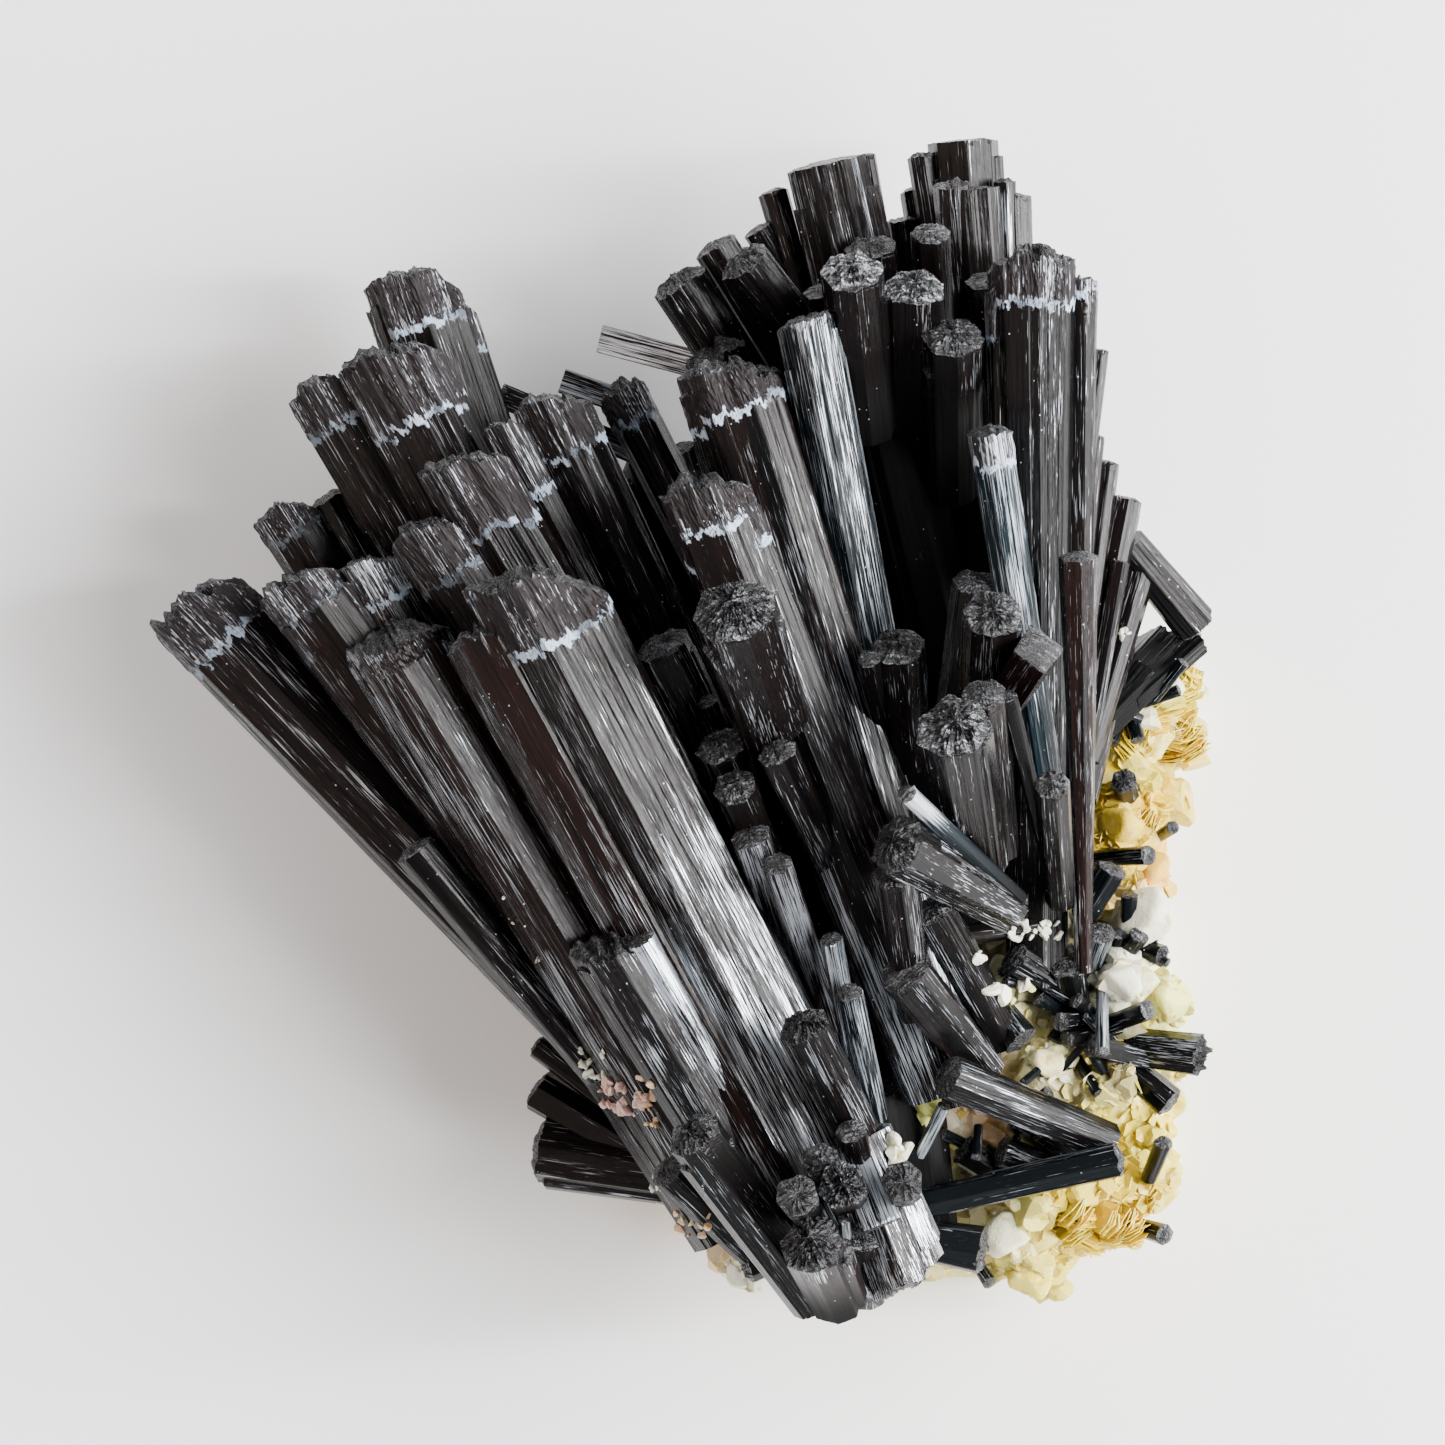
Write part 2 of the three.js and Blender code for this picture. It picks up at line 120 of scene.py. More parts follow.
# %% [markdown]
# ## Blank prisms
# All the crystals are long prisms with many fine ribs, so four blanks are modelled once and copied. A blank
# is a cylinder with a radius of 1 whose top face is extruded into rings and then inset into the rings of its
# end. Stout crystals use a blank with many ribs and thin ones a simple blank, which keeps the mesh light.

# %% Model the blanks
# Each blank: its name, its ribs, its rings, the rings of its end, and the width in mm that a crystal has to
# pass to be made from it.
BLANK_KINDS = (
    ("stout", 144, 22, 9, 4.4),
    ("middling", 84, 18, 7, 2.5),
    ("slim", 44, 12, 4, 1.2),
    ("needle", 20, 8, 2, 0),
)


def select_top_face(obj, top):
    """Selects the face of the edited mesh whose centre is at the height top."""
    shape = bmesh.from_edit_mesh(obj.data)
    for face in shape.faces:
        face.select = face.normal.z > 0.9 and abs(face.calc_center_median().z - top) < 0.01
    bmesh.update_edit_mesh(obj.data)


def blank_prism(name, ribs, rings, end_rings):
    """A prism of radius 1 with one ring at each whole height and concentric rings on its end."""
    deselect()
    bpy.ops.mesh.primitive_cylinder_add(vertices=ribs, radius=1, depth=1, location=(0, 0, 0.5))
    blank = bpy.context.object
    blank.name = f"blank_{name}"
    bpy.ops.object.transform_apply(location=True, rotation=True, scale=True)
    switch_to("EDIT")
    bpy.context.tool_settings.mesh_select_mode = (False, False, True)
    select_top_face(blank, 1)
    for _ in range(rings - 1):
        bpy.ops.mesh.extrude_region_move(TRANSFORM_OT_translate={"value": (0, 0, 1)})
    for _ in range(end_rings):
        bpy.ops.mesh.inset(thickness=1 / (end_rings + 1), depth=0)
    bpy.ops.mesh.merge(type="CENTER")
    switch_to("OBJECT")
    for face in blank.data.polygons:
        face.material_index = 1 if face.center.z > rings - 0.01 else 0
    print(blank.name, len(blank.data.vertices), "corners")
    return blank


BLANKS = [
    (blank_prism(name, ribs, rings, end_rings), ribs, over)
    for name, ribs, rings, end_rings, over in BLANK_KINDS
]


def blank_for(width):
    """The blank for a crystal of this width, and its number of ribs."""
    return next((blank, ribs) for blank, ribs, over in BLANKS if width > over)


# %% [markdown]
# ## Growing a crystal
# A crystal is a copy of a blank whose corners are moved. Its section is a polygon with a few flat faces, each
# named by the angle that it faces, so a face can be turned to the light as on the real one. Every rib gets
# its own small height, which makes the striations, and its own length, which makes the jagged top. Layers
# that stop part of the way up leave ledges. Each corner also keeps its place in the crystal as an attribute,
# and the materials read it to run their streaks lengthwise.

# %% Skin and top of a crystal
CAP_BAND_RINGS = 7
LEDGES = 5
# Heights on the skin, as shares of the radius.
LEDGE_DEPTHS = (0.008, 0.02)
RIB_HEIGHT = 0.006
RIB_WANDER = 0.003
CAP_SWELL = 0.012
CAP_RIDGE = 0.026
CAP_GRIT = 0.018
# Depths on the top, as shares of the width.
NOTCH = 0.09
NOTCH_GRIT = 0.04
BROAD_TEETH = 0.1
NARROW_TEETH = 0.045


def smooth_noise(random, count, spacing):
    """Values from -1 to 1 around a closed ring of ribs, one peak in about every spacing ribs."""
    knots = max(3, round(count / spacing))
    values = random.uniform(-1, 1, knots)
    where = np.arange(count) * knots / count
    low = where.astype(int)
    share = where - low
    share = share * share * (3 - 2 * share)
    return values[low % knots] * (1 - share) + values[(low + 1) % knots] * share


def ring_heights(length, rings, cap):
    """The rings are even along the body and closer together in the cap."""
    band = min(max(cap, 0.06 * length), 0.6 * length)
    body = np.linspace(0, length - band, rings + 1 - CAP_BAND_RINGS)
    return np.concatenate([body, np.linspace(length - band, length, CAP_BAND_RINGS + 1)[1:]]), band


def skin_relief(random, ribs, rings, cap):
    """How far each rib stands out at each ring. A cap is ridged and rough."""
    coarse = smooth_noise(random, ribs, 5)
    fine = random.uniform(-1, 1, ribs)
    wander = random.uniform(-1, 1, (rings + 1, ribs))
    relief = RIB_HEIGHT * coarse + RIB_HEIGHT * fine + RIB_WANDER * wander
    for _ in range(LEDGES):
        start, span = random.integers(0, ribs), random.integers(3, max(4, ribs // 5))
        stop = random.integers(2, rings)
        chosen = (start + np.arange(span)) % ribs
        relief[stop:, chosen] -= random.uniform(*LEDGE_DEPTHS)
    if cap:
        ridge = smooth_noise(random, ribs, 3.5)
        cap_relief = CAP_SWELL + CAP_RIDGE * ridge + CAP_GRIT * random.uniform(-1, 1, (rings + 1, ribs))
        relief[-CAP_BAND_RINGS:] += cap_relief[-CAP_BAND_RINGS:]
    return relief


def notches(random, ribs):
    """How much shorter each rib ends. A needle has too few ribs for the finer notches."""
    broad = 0.5 + 0.5 * smooth_noise(random, ribs, 9)
    return NOTCH * broad + NOTCH_GRIT * random.random(ribs) * (ribs > 30)


def teeth(random, across):
    """Broad and narrow teeth on the top. Across is the place on the width, from -0.5 to 0.5."""
    across = np.clip(across + 0.6, 0, 1.19)
    broad = random.random(12)[(10 * across).astype(int)]
    narrow = random.random(42)[(35 * across).astype(int)]
    return BROAD_TEETH * broad + NARROW_TEETH * narrow


# %% Grow one crystal
ROOT_TAPER = 0.84
FACE_REACH = 0.955
REACH_SPREAD = 0.06
# Painted shade: the mm it takes to come in fully below its start, and a start too deep to reach.
GLOOM_LENGTH = 5
NO_FADE = 90


def section_reach(angle, faces, face_reach):
    """How far the polygon with these faces reaches at each angle."""
    slant = np.cos(angle[:, None] - np.radians(faces)[None, :])
    return (face_reach[None, :] / np.maximum(slant, 0.08)).min(axis=1)


def prism_axes(tip, root):
    """Right, up (towards the display side) and along, for a prism from root to tip."""
    along = (tip - root) / np.linalg.norm(tip - root)
    up = np.array([0, 0, 1.0]) - along * along[2]
    up /= np.linalg.norm(up)
    return np.cross(along, up), up, along


def grow(
    tip, root, width, seed, faces, cap=0, line=0, tone=0.4, silver=0, shine=0.5, dull=0, jag=0.5, dome=0.1,
    rough_end=0.02, slant=(0, 0), rib=1, taper=ROOT_TAPER, rounded=0, depth=1, fade=NO_FADE, sweep=0,
):
    """One crystal as a mesh object. Lengths are in mm, and faces are degrees to the right of straight up."""
    random = np.random.default_rng(seed)
    blank, ribs = blank_for(width)
    mesh = blank.data.copy()
    x, y, z = read(mesh.vertices, "co").T
    rings = round(z.max())
    ring = np.minimum(np.round(z).astype(int), rings)
    angle = np.arctan2(x, y)
    column = np.round(angle / (2 * np.pi) * ribs).astype(int) % ribs
    from_axis = np.hypot(x, y)
    share = np.minimum(from_axis / from_axis[ring == 0].max(), 1)
    length = np.linalg.norm(tip - root)
    heights, band = ring_heights(length, rings, cap)

    faces = np.array(faces, float)
    spread = random.uniform(-REACH_SPREAD, REACH_SPREAD, len(faces))
    reach = section_reach(angle, faces, 0.5 * width * (1 + spread) * FACE_REACH)
    relief = skin_relief(random, ribs, rings, cap) * rib
    notch = np.minimum(jag * width * notches(random, ribs), 0.5 * band)[column]

    height = heights[ring]
    radial = reach * (taper + (1 - taper) * height / length) * (1 + relief[ring, column])
    into_band = np.maximum(height - length + band, 0)
    height = height - notch * into_band / band
    on_end = share < 0.999
    radial = np.where(on_end, radial * share, radial)
    crown = dome * width * (1 - share**2)
    crown += rough_end * width * random.uniform(-1, 1, len(x)) * (share > 0.02)
    height = np.where(on_end, length - notch * share**2 + crown, height)

    local = np.column_stack([radial * np.sin(angle), radial * np.cos(angle), height])
    near_tip = np.clip((height - length + band) / band, 0, 1)
    right, up = local[:, 0], local[:, 1]
    local[:, 2] -= near_tip * jag * width * teeth(random, right / width)
    local[:, 2] += near_tip * (slant[0] * right + slant[1] * up - rounded * right**2 / width)
    local[:, 1] *= depth
    world = root + sum(local[:, [number]] * axis for number, axis in enumerate(prism_axes(tip, root)))
    mesh.vertices.foreach_set("co", (world * MM).ravel())

    # The materials read these. Each seed has a shift of its own, so that no two crystals look the same.
    below_tip = length - local[:, 2]
    # Painted shade: none near the tip and full from a set depth below it, where shade falls deep in the
    # cluster.
    gloom = np.clip((below_tip - fade) / GLOOM_LENGTH, 0, 1)
    shift_right, shift_up = 17.3 * (seed % 41), 11.7 * (seed % 29)
    keep(mesh, "grown", np.column_stack([local[:, 0] + shift_right, local[:, 1] + shift_up, below_tip]))
    keep(mesh, "look", (cap, tone, line))
    # Painted highlights on the end and on the side, and the roughness.
    keep(mesh, "ending", (shine, silver, dull))
    # Painted shade down the crystal, and a painted highlight that grows towards the root.
    keep(mesh, "shade", np.column_stack(np.broadcast_arrays(gloom, sweep, 0)))
    mesh.update()
    return [add_object("crystal", mesh)]


# %% [markdown]
# ## Bundles
# A stout schorl crystal is never one clean prism: narrower prisms are grown along its sides and stop at other
# heights. So a stout crystal is a bundle, one main prism with two slimmer ones pushed into it. They lean out
# of its sides and give the long grooves and the stepped top.

# %% Bundle slimmer prisms round a stout one
SECTION = (-124, -72, -14, 28, 78, 128, 180)
STOUT = 3.2
# A crystal's seed plus these gives the seeds of its bundle and of each slimmer prism in it.
BUNDLE_SEED = 5000
SIDE_SEED = 97


def turned(turn, random):
    """The faces of an uneven section, turned by this many degrees."""
    return tuple(angle + turn + random.uniform(-7, 7) for angle in SECTION)


def usual_sides(width, random):
    """Two slimmer prisms for a stout crystal, one on each side, and none for a thin one."""
    if width < STOUT:
        return ()
    ranges = (-0.05, 0.14), (0.48, 0.6), (0.2, 2.6)
    return tuple(
        (side * random.uniform(0.2, 0.29), *(random.uniform(low, high) for low, high in ranges))
        for side in (-1, 1)
    )


def bundle(tip, root, width, seed, style=None, turn=0, faces=None, sides=None, **own):
    """A crystal with slimmer ones along its sides. Tip and root are picture pixels and a height in mm, and
    a side is its shift to the right and up, its width, both as shares of the width, and its drop in mm."""
    random = np.random.default_rng(seed + BUNDLE_SEED)
    style = {**(style or {}), **own}
    tip, root = at(*tip), at(*root)
    tip = tip + style.pop("rise", 0) * prism_axes(tip, root)[2]
    faces = faces or turned(turn, random)
    sides = usual_sides(width, random) if sides is None else sides
    grown = grow(tip, root, width, seed, faces, **style)
    right, up, along = prism_axes(tip, root)
    for number, (to_right, to_up, share, drop) in enumerate(sides):
        shift = (to_right * right + to_up * up) * width
        side_tip = tip + shift - along * drop
        side_root = root + ROOT_TAPER * shift
        side_faces = [angle + random.uniform(-8, 8) for angle in faces]
        side_seed = seed + SIDE_SEED * (number + 1)
        grown += grow(side_tip, side_root, share * width, side_seed, side_faces, **style)
    return grown


def gather(name, *bundles, nodes=("schorl_spray",)):
    """Joins crystals into one named piece of schorl that stands for these CAD nodes."""
    crystals = sum(bundles, [])
    deselect()
    for crystal in crystals:
        crystal.select_set(True)
    bpy.context.view_layer.objects.active = crystals[0]
    bpy.ops.object.join()
    piece = bpy.context.object
    piece.name = name
    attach(piece, "root")
    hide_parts(*nodes)
    triangles = sum(len(face.vertices) - 2 for face in piece.data.polygons)
    print(name, len(crystals), "prisms,", triangles, "triangles")
    return piece


# %% [markdown]
# ## Nodes and shared effects
# Small helpers keep the node code short. Each finds the node tree from the sockets that it is given. The
# effects that several materials could use are node groups, built once: lengthwise streaks for the striations,
# and pale specks for the dust and broken grains. They put out only masks and heights, and each material turns
# those into its own colour, gloss and bump.

# %% Node helpers
def add_node(tree, kind, **settings):
    made = tree.nodes.new("ShaderNode" + kind)
    for key, value in settings.items():
        setattr(made, key, value)
    return made


def feed(socket, value):
    """Links a socket to another one or sets it. A colour is three numbers."""
    if isinstance(value, bpy.types.NodeSocket):
        socket.id_data.links.new(value, socket)
    else:
        socket.default_value = (*value, 1) if socket.type == "RGBA" else value


def plug(node, **values):
    """Feeds a node's inputs by name, with _ for a space, and returns its outputs."""
    for title, value in values.items():
        feed(node.inputs[title.replace("_", " ")], value)
    return node.outputs


def calculate(operation, *values, clamp=False):
    """A math node's output. Each value is a socket or a number, and at least one is a socket."""
    tree = next(value.id_data for value in values if isinstance(value, bpy.types.NodeSocket))
    made = add_node(tree, "Math", operation=operation, use_clamp=clamp)
    for socket, value in zip(made.inputs, values):
        feed(socket, value)
    return made.outputs[0]


times, plus, minus, times_plus, largest = (
    partial(calculate, operation) for operation in ("MULTIPLY", "ADD", "SUBTRACT", "MULTIPLY_ADD", "MAXIMUM")
)


def vector_math(operation, vector, other):
    made = add_node(vector.id_data, "VectorMath", operation=operation)
    feed(made.inputs[0], vector)
    feed(made.inputs[1], other)
    return made.outputs[0]


def stretched(vector, *scale):
    """The vector multiplied by one number, or by one for each axis."""
    return vector_math("MULTIPLY", vector, scale * 3 if len(scale) == 1 else scale)


def noise(vector, scale, detail=2, roughness=0.5):
    """A noise from 0 to 1. The scale is its grains per mm, for all axes or for each."""
    made = add_node(vector.id_data, "TexNoise")
    place = stretched(vector, *np.atleast_1d(scale))
    return plug(made, Vector=place, Scale=1, Detail=detail, Roughness=roughness)[0]


def cells(vector):
    """A cell pattern's outputs: Distance from the nearest cell point and Color of the cell."""
    return plug(add_node(vector.id_data, "TexVoronoi", feature="F1"), Vector=vector, Scale=1)


def blend(share, low, high):
    """Two colours mixed by share. Each is a socket or three numbers."""
    made = add_node(share.id_data, "Mix", data_type="RGBA")
    for socket, value in zip((made.inputs[0], made.inputs[6], made.inputs[7]), (share, low, high)):
        feed(socket, value)
    return made.outputs[2]


def ramp(value, low, high):
    """0 below low, 1 above high and smooth between."""
    made = add_node(value.id_data, "MapRange", interpolation_type="SMOOTHSTEP")
    return plug(made, Value=value, From_Min=low, From_Max=high)["Result"]


def split(vector):
    return plug(add_node(vector.id_data, "SeparateXYZ"), Vector=vector)


def bump(height, strength, distance_mm):
    made = add_node(height.id_data, "Bump")
    return plug(made, Height=height, Strength=strength, Distance=distance_mm * MM)["Normal"]


def attribute(tree, name):
    return add_node(tree, "Attribute", attribute_name=name).outputs["Vector"]


def new_material(name):
    material = bpy.data.materials.new(name)
    material.use_nodes = True
    tree = material.node_tree
    return material, tree, tree.nodes["Principled BSDF"]


def new_group(name, *outputs):
    """A node group that reads a place in mm: the group, its place and its end node."""
    group = bpy.data.node_groups.new(name, "ShaderNodeTree")
    group.interface.new_socket(name="Place", in_out="INPUT", socket_type="NodeSocketVector")
    for title in outputs:
        group.interface.new_socket(name=title, in_out="OUTPUT", socket_type="NodeSocketFloat")
    start, end = group.nodes.new("NodeGroupInput"), group.nodes.new("NodeGroupOutput")
    return group, start.outputs["Place"], end


def use_group(group, place):
    return plug(add_node(place.id_data, "Group", node_tree=group), Place=place)


# %% Node groups
def streaks_group():
    """Fine ribs and broad bands that run along a crystal, and broken bright flecks."""
    group, place, end = new_group("Lengthwise streaks", "Ribs", "Bands", "Flecks")
    fine = noise(place, (8, 8, 0.16), 3, 0.7)
    broad = noise(place, (2.1, 2.1, 0.1))
    broken = noise(place, (14, 14, 0.24), 3, 0.65)
    patches = noise(place, (0.55, 0.55, 0.12))
    bands = noise(place, (1.2, 1.2, 0.06))
    plug(end, Ribs=times_plus(broad, 0.9, fine), Bands=bands, Flecks=times_plus(patches, 0.4, broken))
    return group


def specks_group():
    """Small scattered grains: 1 on a grain and 0 between."""
    group, place, end = new_group("Pale specks", "Specks")
    distance = cells(stretched(place, 1.9, 1.9, 1.5))["Distance"]
    patches = ramp(noise(place, (0.8, 0.8, 0.5)), 0.52, 0.62)
    plug(end, Specks=times(minus(1, ramp(distance, 0.05, 0.1)), patches))
    return group


STREAKS = streaks_group()
SPECKS = specks_group()
print("node groups:", [group.name for group in bpy.data.node_groups])

# %% [markdown]
# ## Schorl
# Schorl is glassy and nearly black, so what shows is mostly reflection. Its ribs break the reflection into long
# streaks, and painted highlights, pale and partly metallic flecks in the colour, draw silver streaks over them:
# more on crystals with a higher glint share, and on some more towards the root. Deep in the cluster a crystal
# is painted black below a set depth from its tip, as painted shade. The top few millimetres grew in a different
# batch: they are rougher, browner and ridged, and a jagged crust of pale crystals runs round their lower edge.
# The material reads how far below the tip each point is and draws that band from it, with a noise for its
# ragged edge.

# %% Schorl material
INK = (0.002, 0.002, 0.0022)
# Painted shade: the black that a crystal turns deep in the cluster.
SOOT = (0.0005, 0.0005, 0.0005)
UMBER = (0.011, 0.0055, 0.0048)
STEEL = (0.004, 0.010, 0.014)
CAP_BROWN = (0.014, 0.010, 0.011)
# Painted highlights: the pale colour of the glint flecks, which are also partly metallic.
GLINT = (0.5, 0.54, 0.59)
CRUST = (0.42, 0.51, 0.62)
DUST = (0.55, 0.58, 0.62)
SCHORL_IOR = 1.64


def crust_mask(place, below, from_cap, line):
    """The pale crust along the lower edge of a cap and round the rim of its top."""
    thickness = noise(place, (1.8, 1.8, 1.4), 3, 0.7)
    reach = calculate("ABSOLUTE", plus(from_cap, 0.05))
    edge = ramp(minus(thickness, times(reach, 0.5)), 0.36, 0.46)
    gaps = ramp(noise(place, (0.45, 0.45, 0)), 0.36, 0.5)
    rim = times(minus(1, ramp(below, -0.3, 0.5)), ramp(thickness, 0.52, 0.6))
    return times(largest(times(edge, times_plus(gaps, 0.8, 0.2)), rim), line)


def glint_mask(below, flecks, streaky, in_cap, silver, gloom, sweep):
    """Painted highlights: the brightest flecks, more with a higher glint share and none in painted shade."""
    brightness = times_plus(silver, 0.3, flecks)
    brightness = times_plus(in_cap, 0.05, brightness)
    brightness = times_plus(streaky, 0.08, brightness)
    brightness = minus(brightness, gloom)
    # Painted highlight that grows towards the root, as the light falls there, on crystals with a sweep.
    from_tip = times_plus(calculate("MINIMUM", below, 40), 0.008, -0.08)
    return ramp(plus(brightness, times(from_tip, sweep)), 0.865, 0.99)


def schorl_material():
    material, tree, skin = new_material("Black schorl")
    place = attribute(tree, "grown")
    below = split(place)[2]
    cap, tone, line = split(attribute(tree, "look"))
    _, silver, dull = split(attribute(tree, "ending"))
    gloom, sweep, _ = split(attribute(tree, "shade"))
    ribs, bands, flecks = use_group(STREAKS, place)
    specks = use_group(SPECKS, place)[0]

    ragged = noise(place, (1.6, 1.6, 0), 3, 0.6)
    from_cap = minus(times_plus(minus(ragged, 0.5), 2, below), cap)
    in_cap = minus(1, ramp(from_cap, -0.12, 0.06))
    streaky = ramp(bands, 0.38, 0.62)
    crust = crust_mask(place, below, from_cap, line)
    glint = glint_mask(below, flecks, streaky, in_cap, silver, gloom, sweep)

    brown = times(largest(tone, 0), ramp(bands, 0.3, 0.6))
    blue = largest(times(tone, -1), 0)
    colour = blend(blue, blend(brown, INK, UMBER), STEEL)
    colour = blend(times(in_cap, 0.8), colour, CAP_BROWN)
    # Painted shade: black down the crystal below a set depth.
    colour = blend(gloom, colour, SOOT)
    # Painted highlights: pale glint flecks in the colour.
    colour = blend(glint, colour, GLINT)
    colour = blend(times(specks, 0.8), colour, DUST)
    colour = blend(crust, colour, CRUST)

    gloss = times_plus(ribs, 0.1, 0.12)
    for share, added in ((in_cap, 0.2), (gloom, 0.6), (dull, 0.5)):
        gloss = times_plus(share, added, gloss)
    gloss = times_plus(crust, 0.4, gloss, clamp=True)
    height = times(times_plus(flecks, 0.35, ribs), times_plus(streaky, 0.55, 0.45))
    height = times(height, times_plus(in_cap, 2, 1))
    metal = times(times(glint, minus(1, crust)), 0.7)
    plug(skin, Base_Color=colour, Metallic=metal, Roughness=gloss, Normal=bump(height, 1, 0.04))
    plug(skin, IOR=SCHORL_IOR, Specular_IOR_Level=0.1)
    return material


SCHORL = schorl_material()

# %% [markdown]
# ## Broken ends
# The ends that face the viewer are broken across. They are covered in thin scales like shingles, black, with
# painted highlights in silver where they catch the light. A cell pattern, squeezed in one direction, gives the
# scales, and its cell edges give the dark gaps, painted shade between the scales.

# %% Scaly end material
SCALE_SILVER = (0.4, 0.41, 0.44)
SCALE_BLACK = (0.009, 0.009, 0.01)
GAP_BLACK = (0.008, 0.008, 0.009)


def end_material():
    material, tree, skin = new_material("Scaly schorl end")
    place = attribute(tree, "grown")
    light = split(attribute(tree, "ending"))[0]
    warp = times(noise(place, 1.6, 3, 0.6), 2.4)
    scales = cells(vector_math("ADD", stretched(place, 1.5, 6, 2.4), warp))
    plates = split(scales["Color"])[0]
    grain = noise(place, 9, 3, 0.7)
    cloud = noise(place, 1.1)
    # Painted highlights: silver scales, as many as the end's shine asks for.
    bright = times(ramp(plates, 0.25, 1), ramp(grain, 0.35, 0.65))
    bright = times(times(bright, ramp(cloud, 0.3, 0.6)), light)
    # Painted shade in the gaps between the scales.
    gap = ramp(scales["Distance"], 0.4, 0.75)
    colour = blend(times(gap, 0.85), blend(bright, SCALE_BLACK, SCALE_SILVER), GAP_BLACK)
    height = minus(times_plus(plates, 0.6, grain), scales["Distance"])
    plug(skin, Base_Color=colour, Roughness=times_plus(grain, 0.3, 0.1), Normal=bump(height, 1, 0.12))
    plug(skin, IOR=SCHORL_IOR, Specular_IOR_Level=0.35)
    return material


SCALY_END = end_material()
for blank, _, _ in BLANKS:
    blank.data.materials.append(SCHORL)
    blank.data.materials.append(SCALY_END)
print("materials on the blanks:", SCHORL.name, "and", SCALY_END.name)

# %% [markdown]
# ## The fan
# The long prisms spread to the upper left. Most of them end in a capped zone with the pale crust under it.
# The biggest lies in front and hides the roots of the others. Its faces are given one by one: one broad dark
# face to the left and a narrower one to the right, which catches the light.
#
# Each crystal is a row: its tip and its root, as picture pixels and a height, its width, its seed, and its
# style and looks. What a style holds is named in the function that grows one crystal.

# %% Grow the fan
# The faces of a crystal that turns a ridge, and no face, to the viewer.
RIDGED = (-120, -66, -14, 26, 85, 130, 180)
JAGGED = dict(line=1, jag=1.2, dome=0.03, slant=(-0.35, 0.15), rounded=0.5, tone=0.45, shine=0.3)


def capped(cap, rise=1, **other):
    """The style of a prism with a capped zone. Its jagged top rises above the plain tip of the frame."""
    return {**JAGGED, "cap": cap + rise, "rise": rise, **other}


fan_front = gather(
    "fan_front",
    bundle(
        (535, 580, 25.8), (868, 1228, 18), 6.7, 1, capped(3.5, slant=(-0.5, 0.15)),
        faces=(-118, -44, 20, 80, 125, 180), sides=((0.22, 0.0, 0.5, 3.2),), sweep=0.65,
    ),
    bundle(
        (484, 622, 24.6), (826, 1250, 18), 5.2, 160, JAGGED, tone=1, slant=(-0.3, 0.15), sweep=0.4,
        faces=(-118, -60, -18, 30, 74, 122, 180), sides=((-0.25, 0, 0.5, 0.7),),
    ),
    bundle(
        (608, 937, 23.5), (781, 1230, 17), 4.9, 2,
        faces=RIDGED, tone=0.3, jag=1.0, rough_end=0.05, dome=0.05, shine=0.1,
        slant=(-0.3, 0), silver=0.1,
    ),
    bundle(
        (640, 935, 24.6), (762, 1150, 19.7), 1.8, 174,
        faces=(-90, -30, 22, 75, 130, 180), jag=1, silver=0.8, taper=0.6, tone=0.5,
    ),
    bundle(
        (387, 625, 21), (735, 1207, 15), 6.2, 3,
        faces=(-120, -75, -34, 21, 70, 120, 180), tone=0.9, cap=1.2, rib=0.6, jag=1.2, slant=(-0.3, 0.1),
        rounded=0.4, shine=0.2, silver=0.1,
    ),
    bundle((372, 568, 18), (520, 830, 16.5), 3.8, 4, capped(2, line=0.7, silver=0.3)),
    bundle((462, 467, 20), (880, 1180, 14), 4.8, 5, capped(4.0), turn=-24),
    bundle((430, 532, 19.5), (724, 993, 15.7), 4.9, 6, capped(2.8, line=0.3), turn=-4),
    bundle((508, 434, 17.5), (750, 900, 14.6), 2.7, 7, capped(3.8)),
    bundle((552, 405, 17), (789, 905, 14.2), 4.2, 8, capped(3.0), turn=-24),
    bundle((300, 585, 18), (632, 1035, 15), 4.9, 14, capped(1.5, line=0.15, tone=0.8), turn=-5),
)
fan_rear = gather(
    "fan_rear",
    bundle((390, 357, 15), (800, 1150, 12), 5.9, 9, capped(4.0), turn=-24, sweep=0.3),
    bundle((325, 390, 13.5), (637, 929, 12.1), 4.6, 10, capped(2.2, line=0.3), turn=-24),
    bundle((410, 279, 10), (700, 1130, 9), 5.5, 11, capped(2.6), turn=3),
    bundle((283, 510, 11), (588, 990, 10.4), 3.9, 12, capped(1.4, 0.6, line=0.15, tone=0.4)),
    bundle((325, 495, 10.5), (544, 876, 10.4), 3.0, 13, tone=0.1),
    bundle((196, 604, 14), (743, 1181, 13), 6.0, 15, capped(2.8, line=0.5)),
    bundle((413, 847, 18.5), (600, 1075, 15), 2.4, 16),
    bundle((560, 960, 13.5), (730, 1235, 12), 5.2, 17, tone=0.2),
    bundle((537, 1153, 7), (790, 1192, 9.5), 4.0, 18, tone=0.5),
    bundle((535, 1092, 7.5), (700, 1190, 9), 2.6, 19, tone=0.2),
    bundle((535, 1047, 9), (680, 1160, 10), 1.6, 20, tone=0.2),
    bundle((664, 450, 8), (880, 1140, 10.5), 5.9, 21, fade=0, tone=0.1),
    bundle((900, 470, 8), (945, 1090, 10.5), 5.9, 22, fade=0, tone=0.1),
)

# %% [markdown]
# ## The tuft
# Tall blocks with nearly flat tops stand behind stubs that lean towards the viewer and show their scaly ends.

# %% Grow the tuft
SLAB = dict(jag=0.05, dome=0, rough_end=0, tone=0.5, rib=0.5, silver=0.6, taper=1)
FLAT_TOP = dict(jag=0.15, dome=0.03, rough_end=0.005, tone=0.35, rib=0.5)
SCALY = dict(jag=0.6, dome=0.12, rough_end=0.04, tone=0.3, shine=0.6)
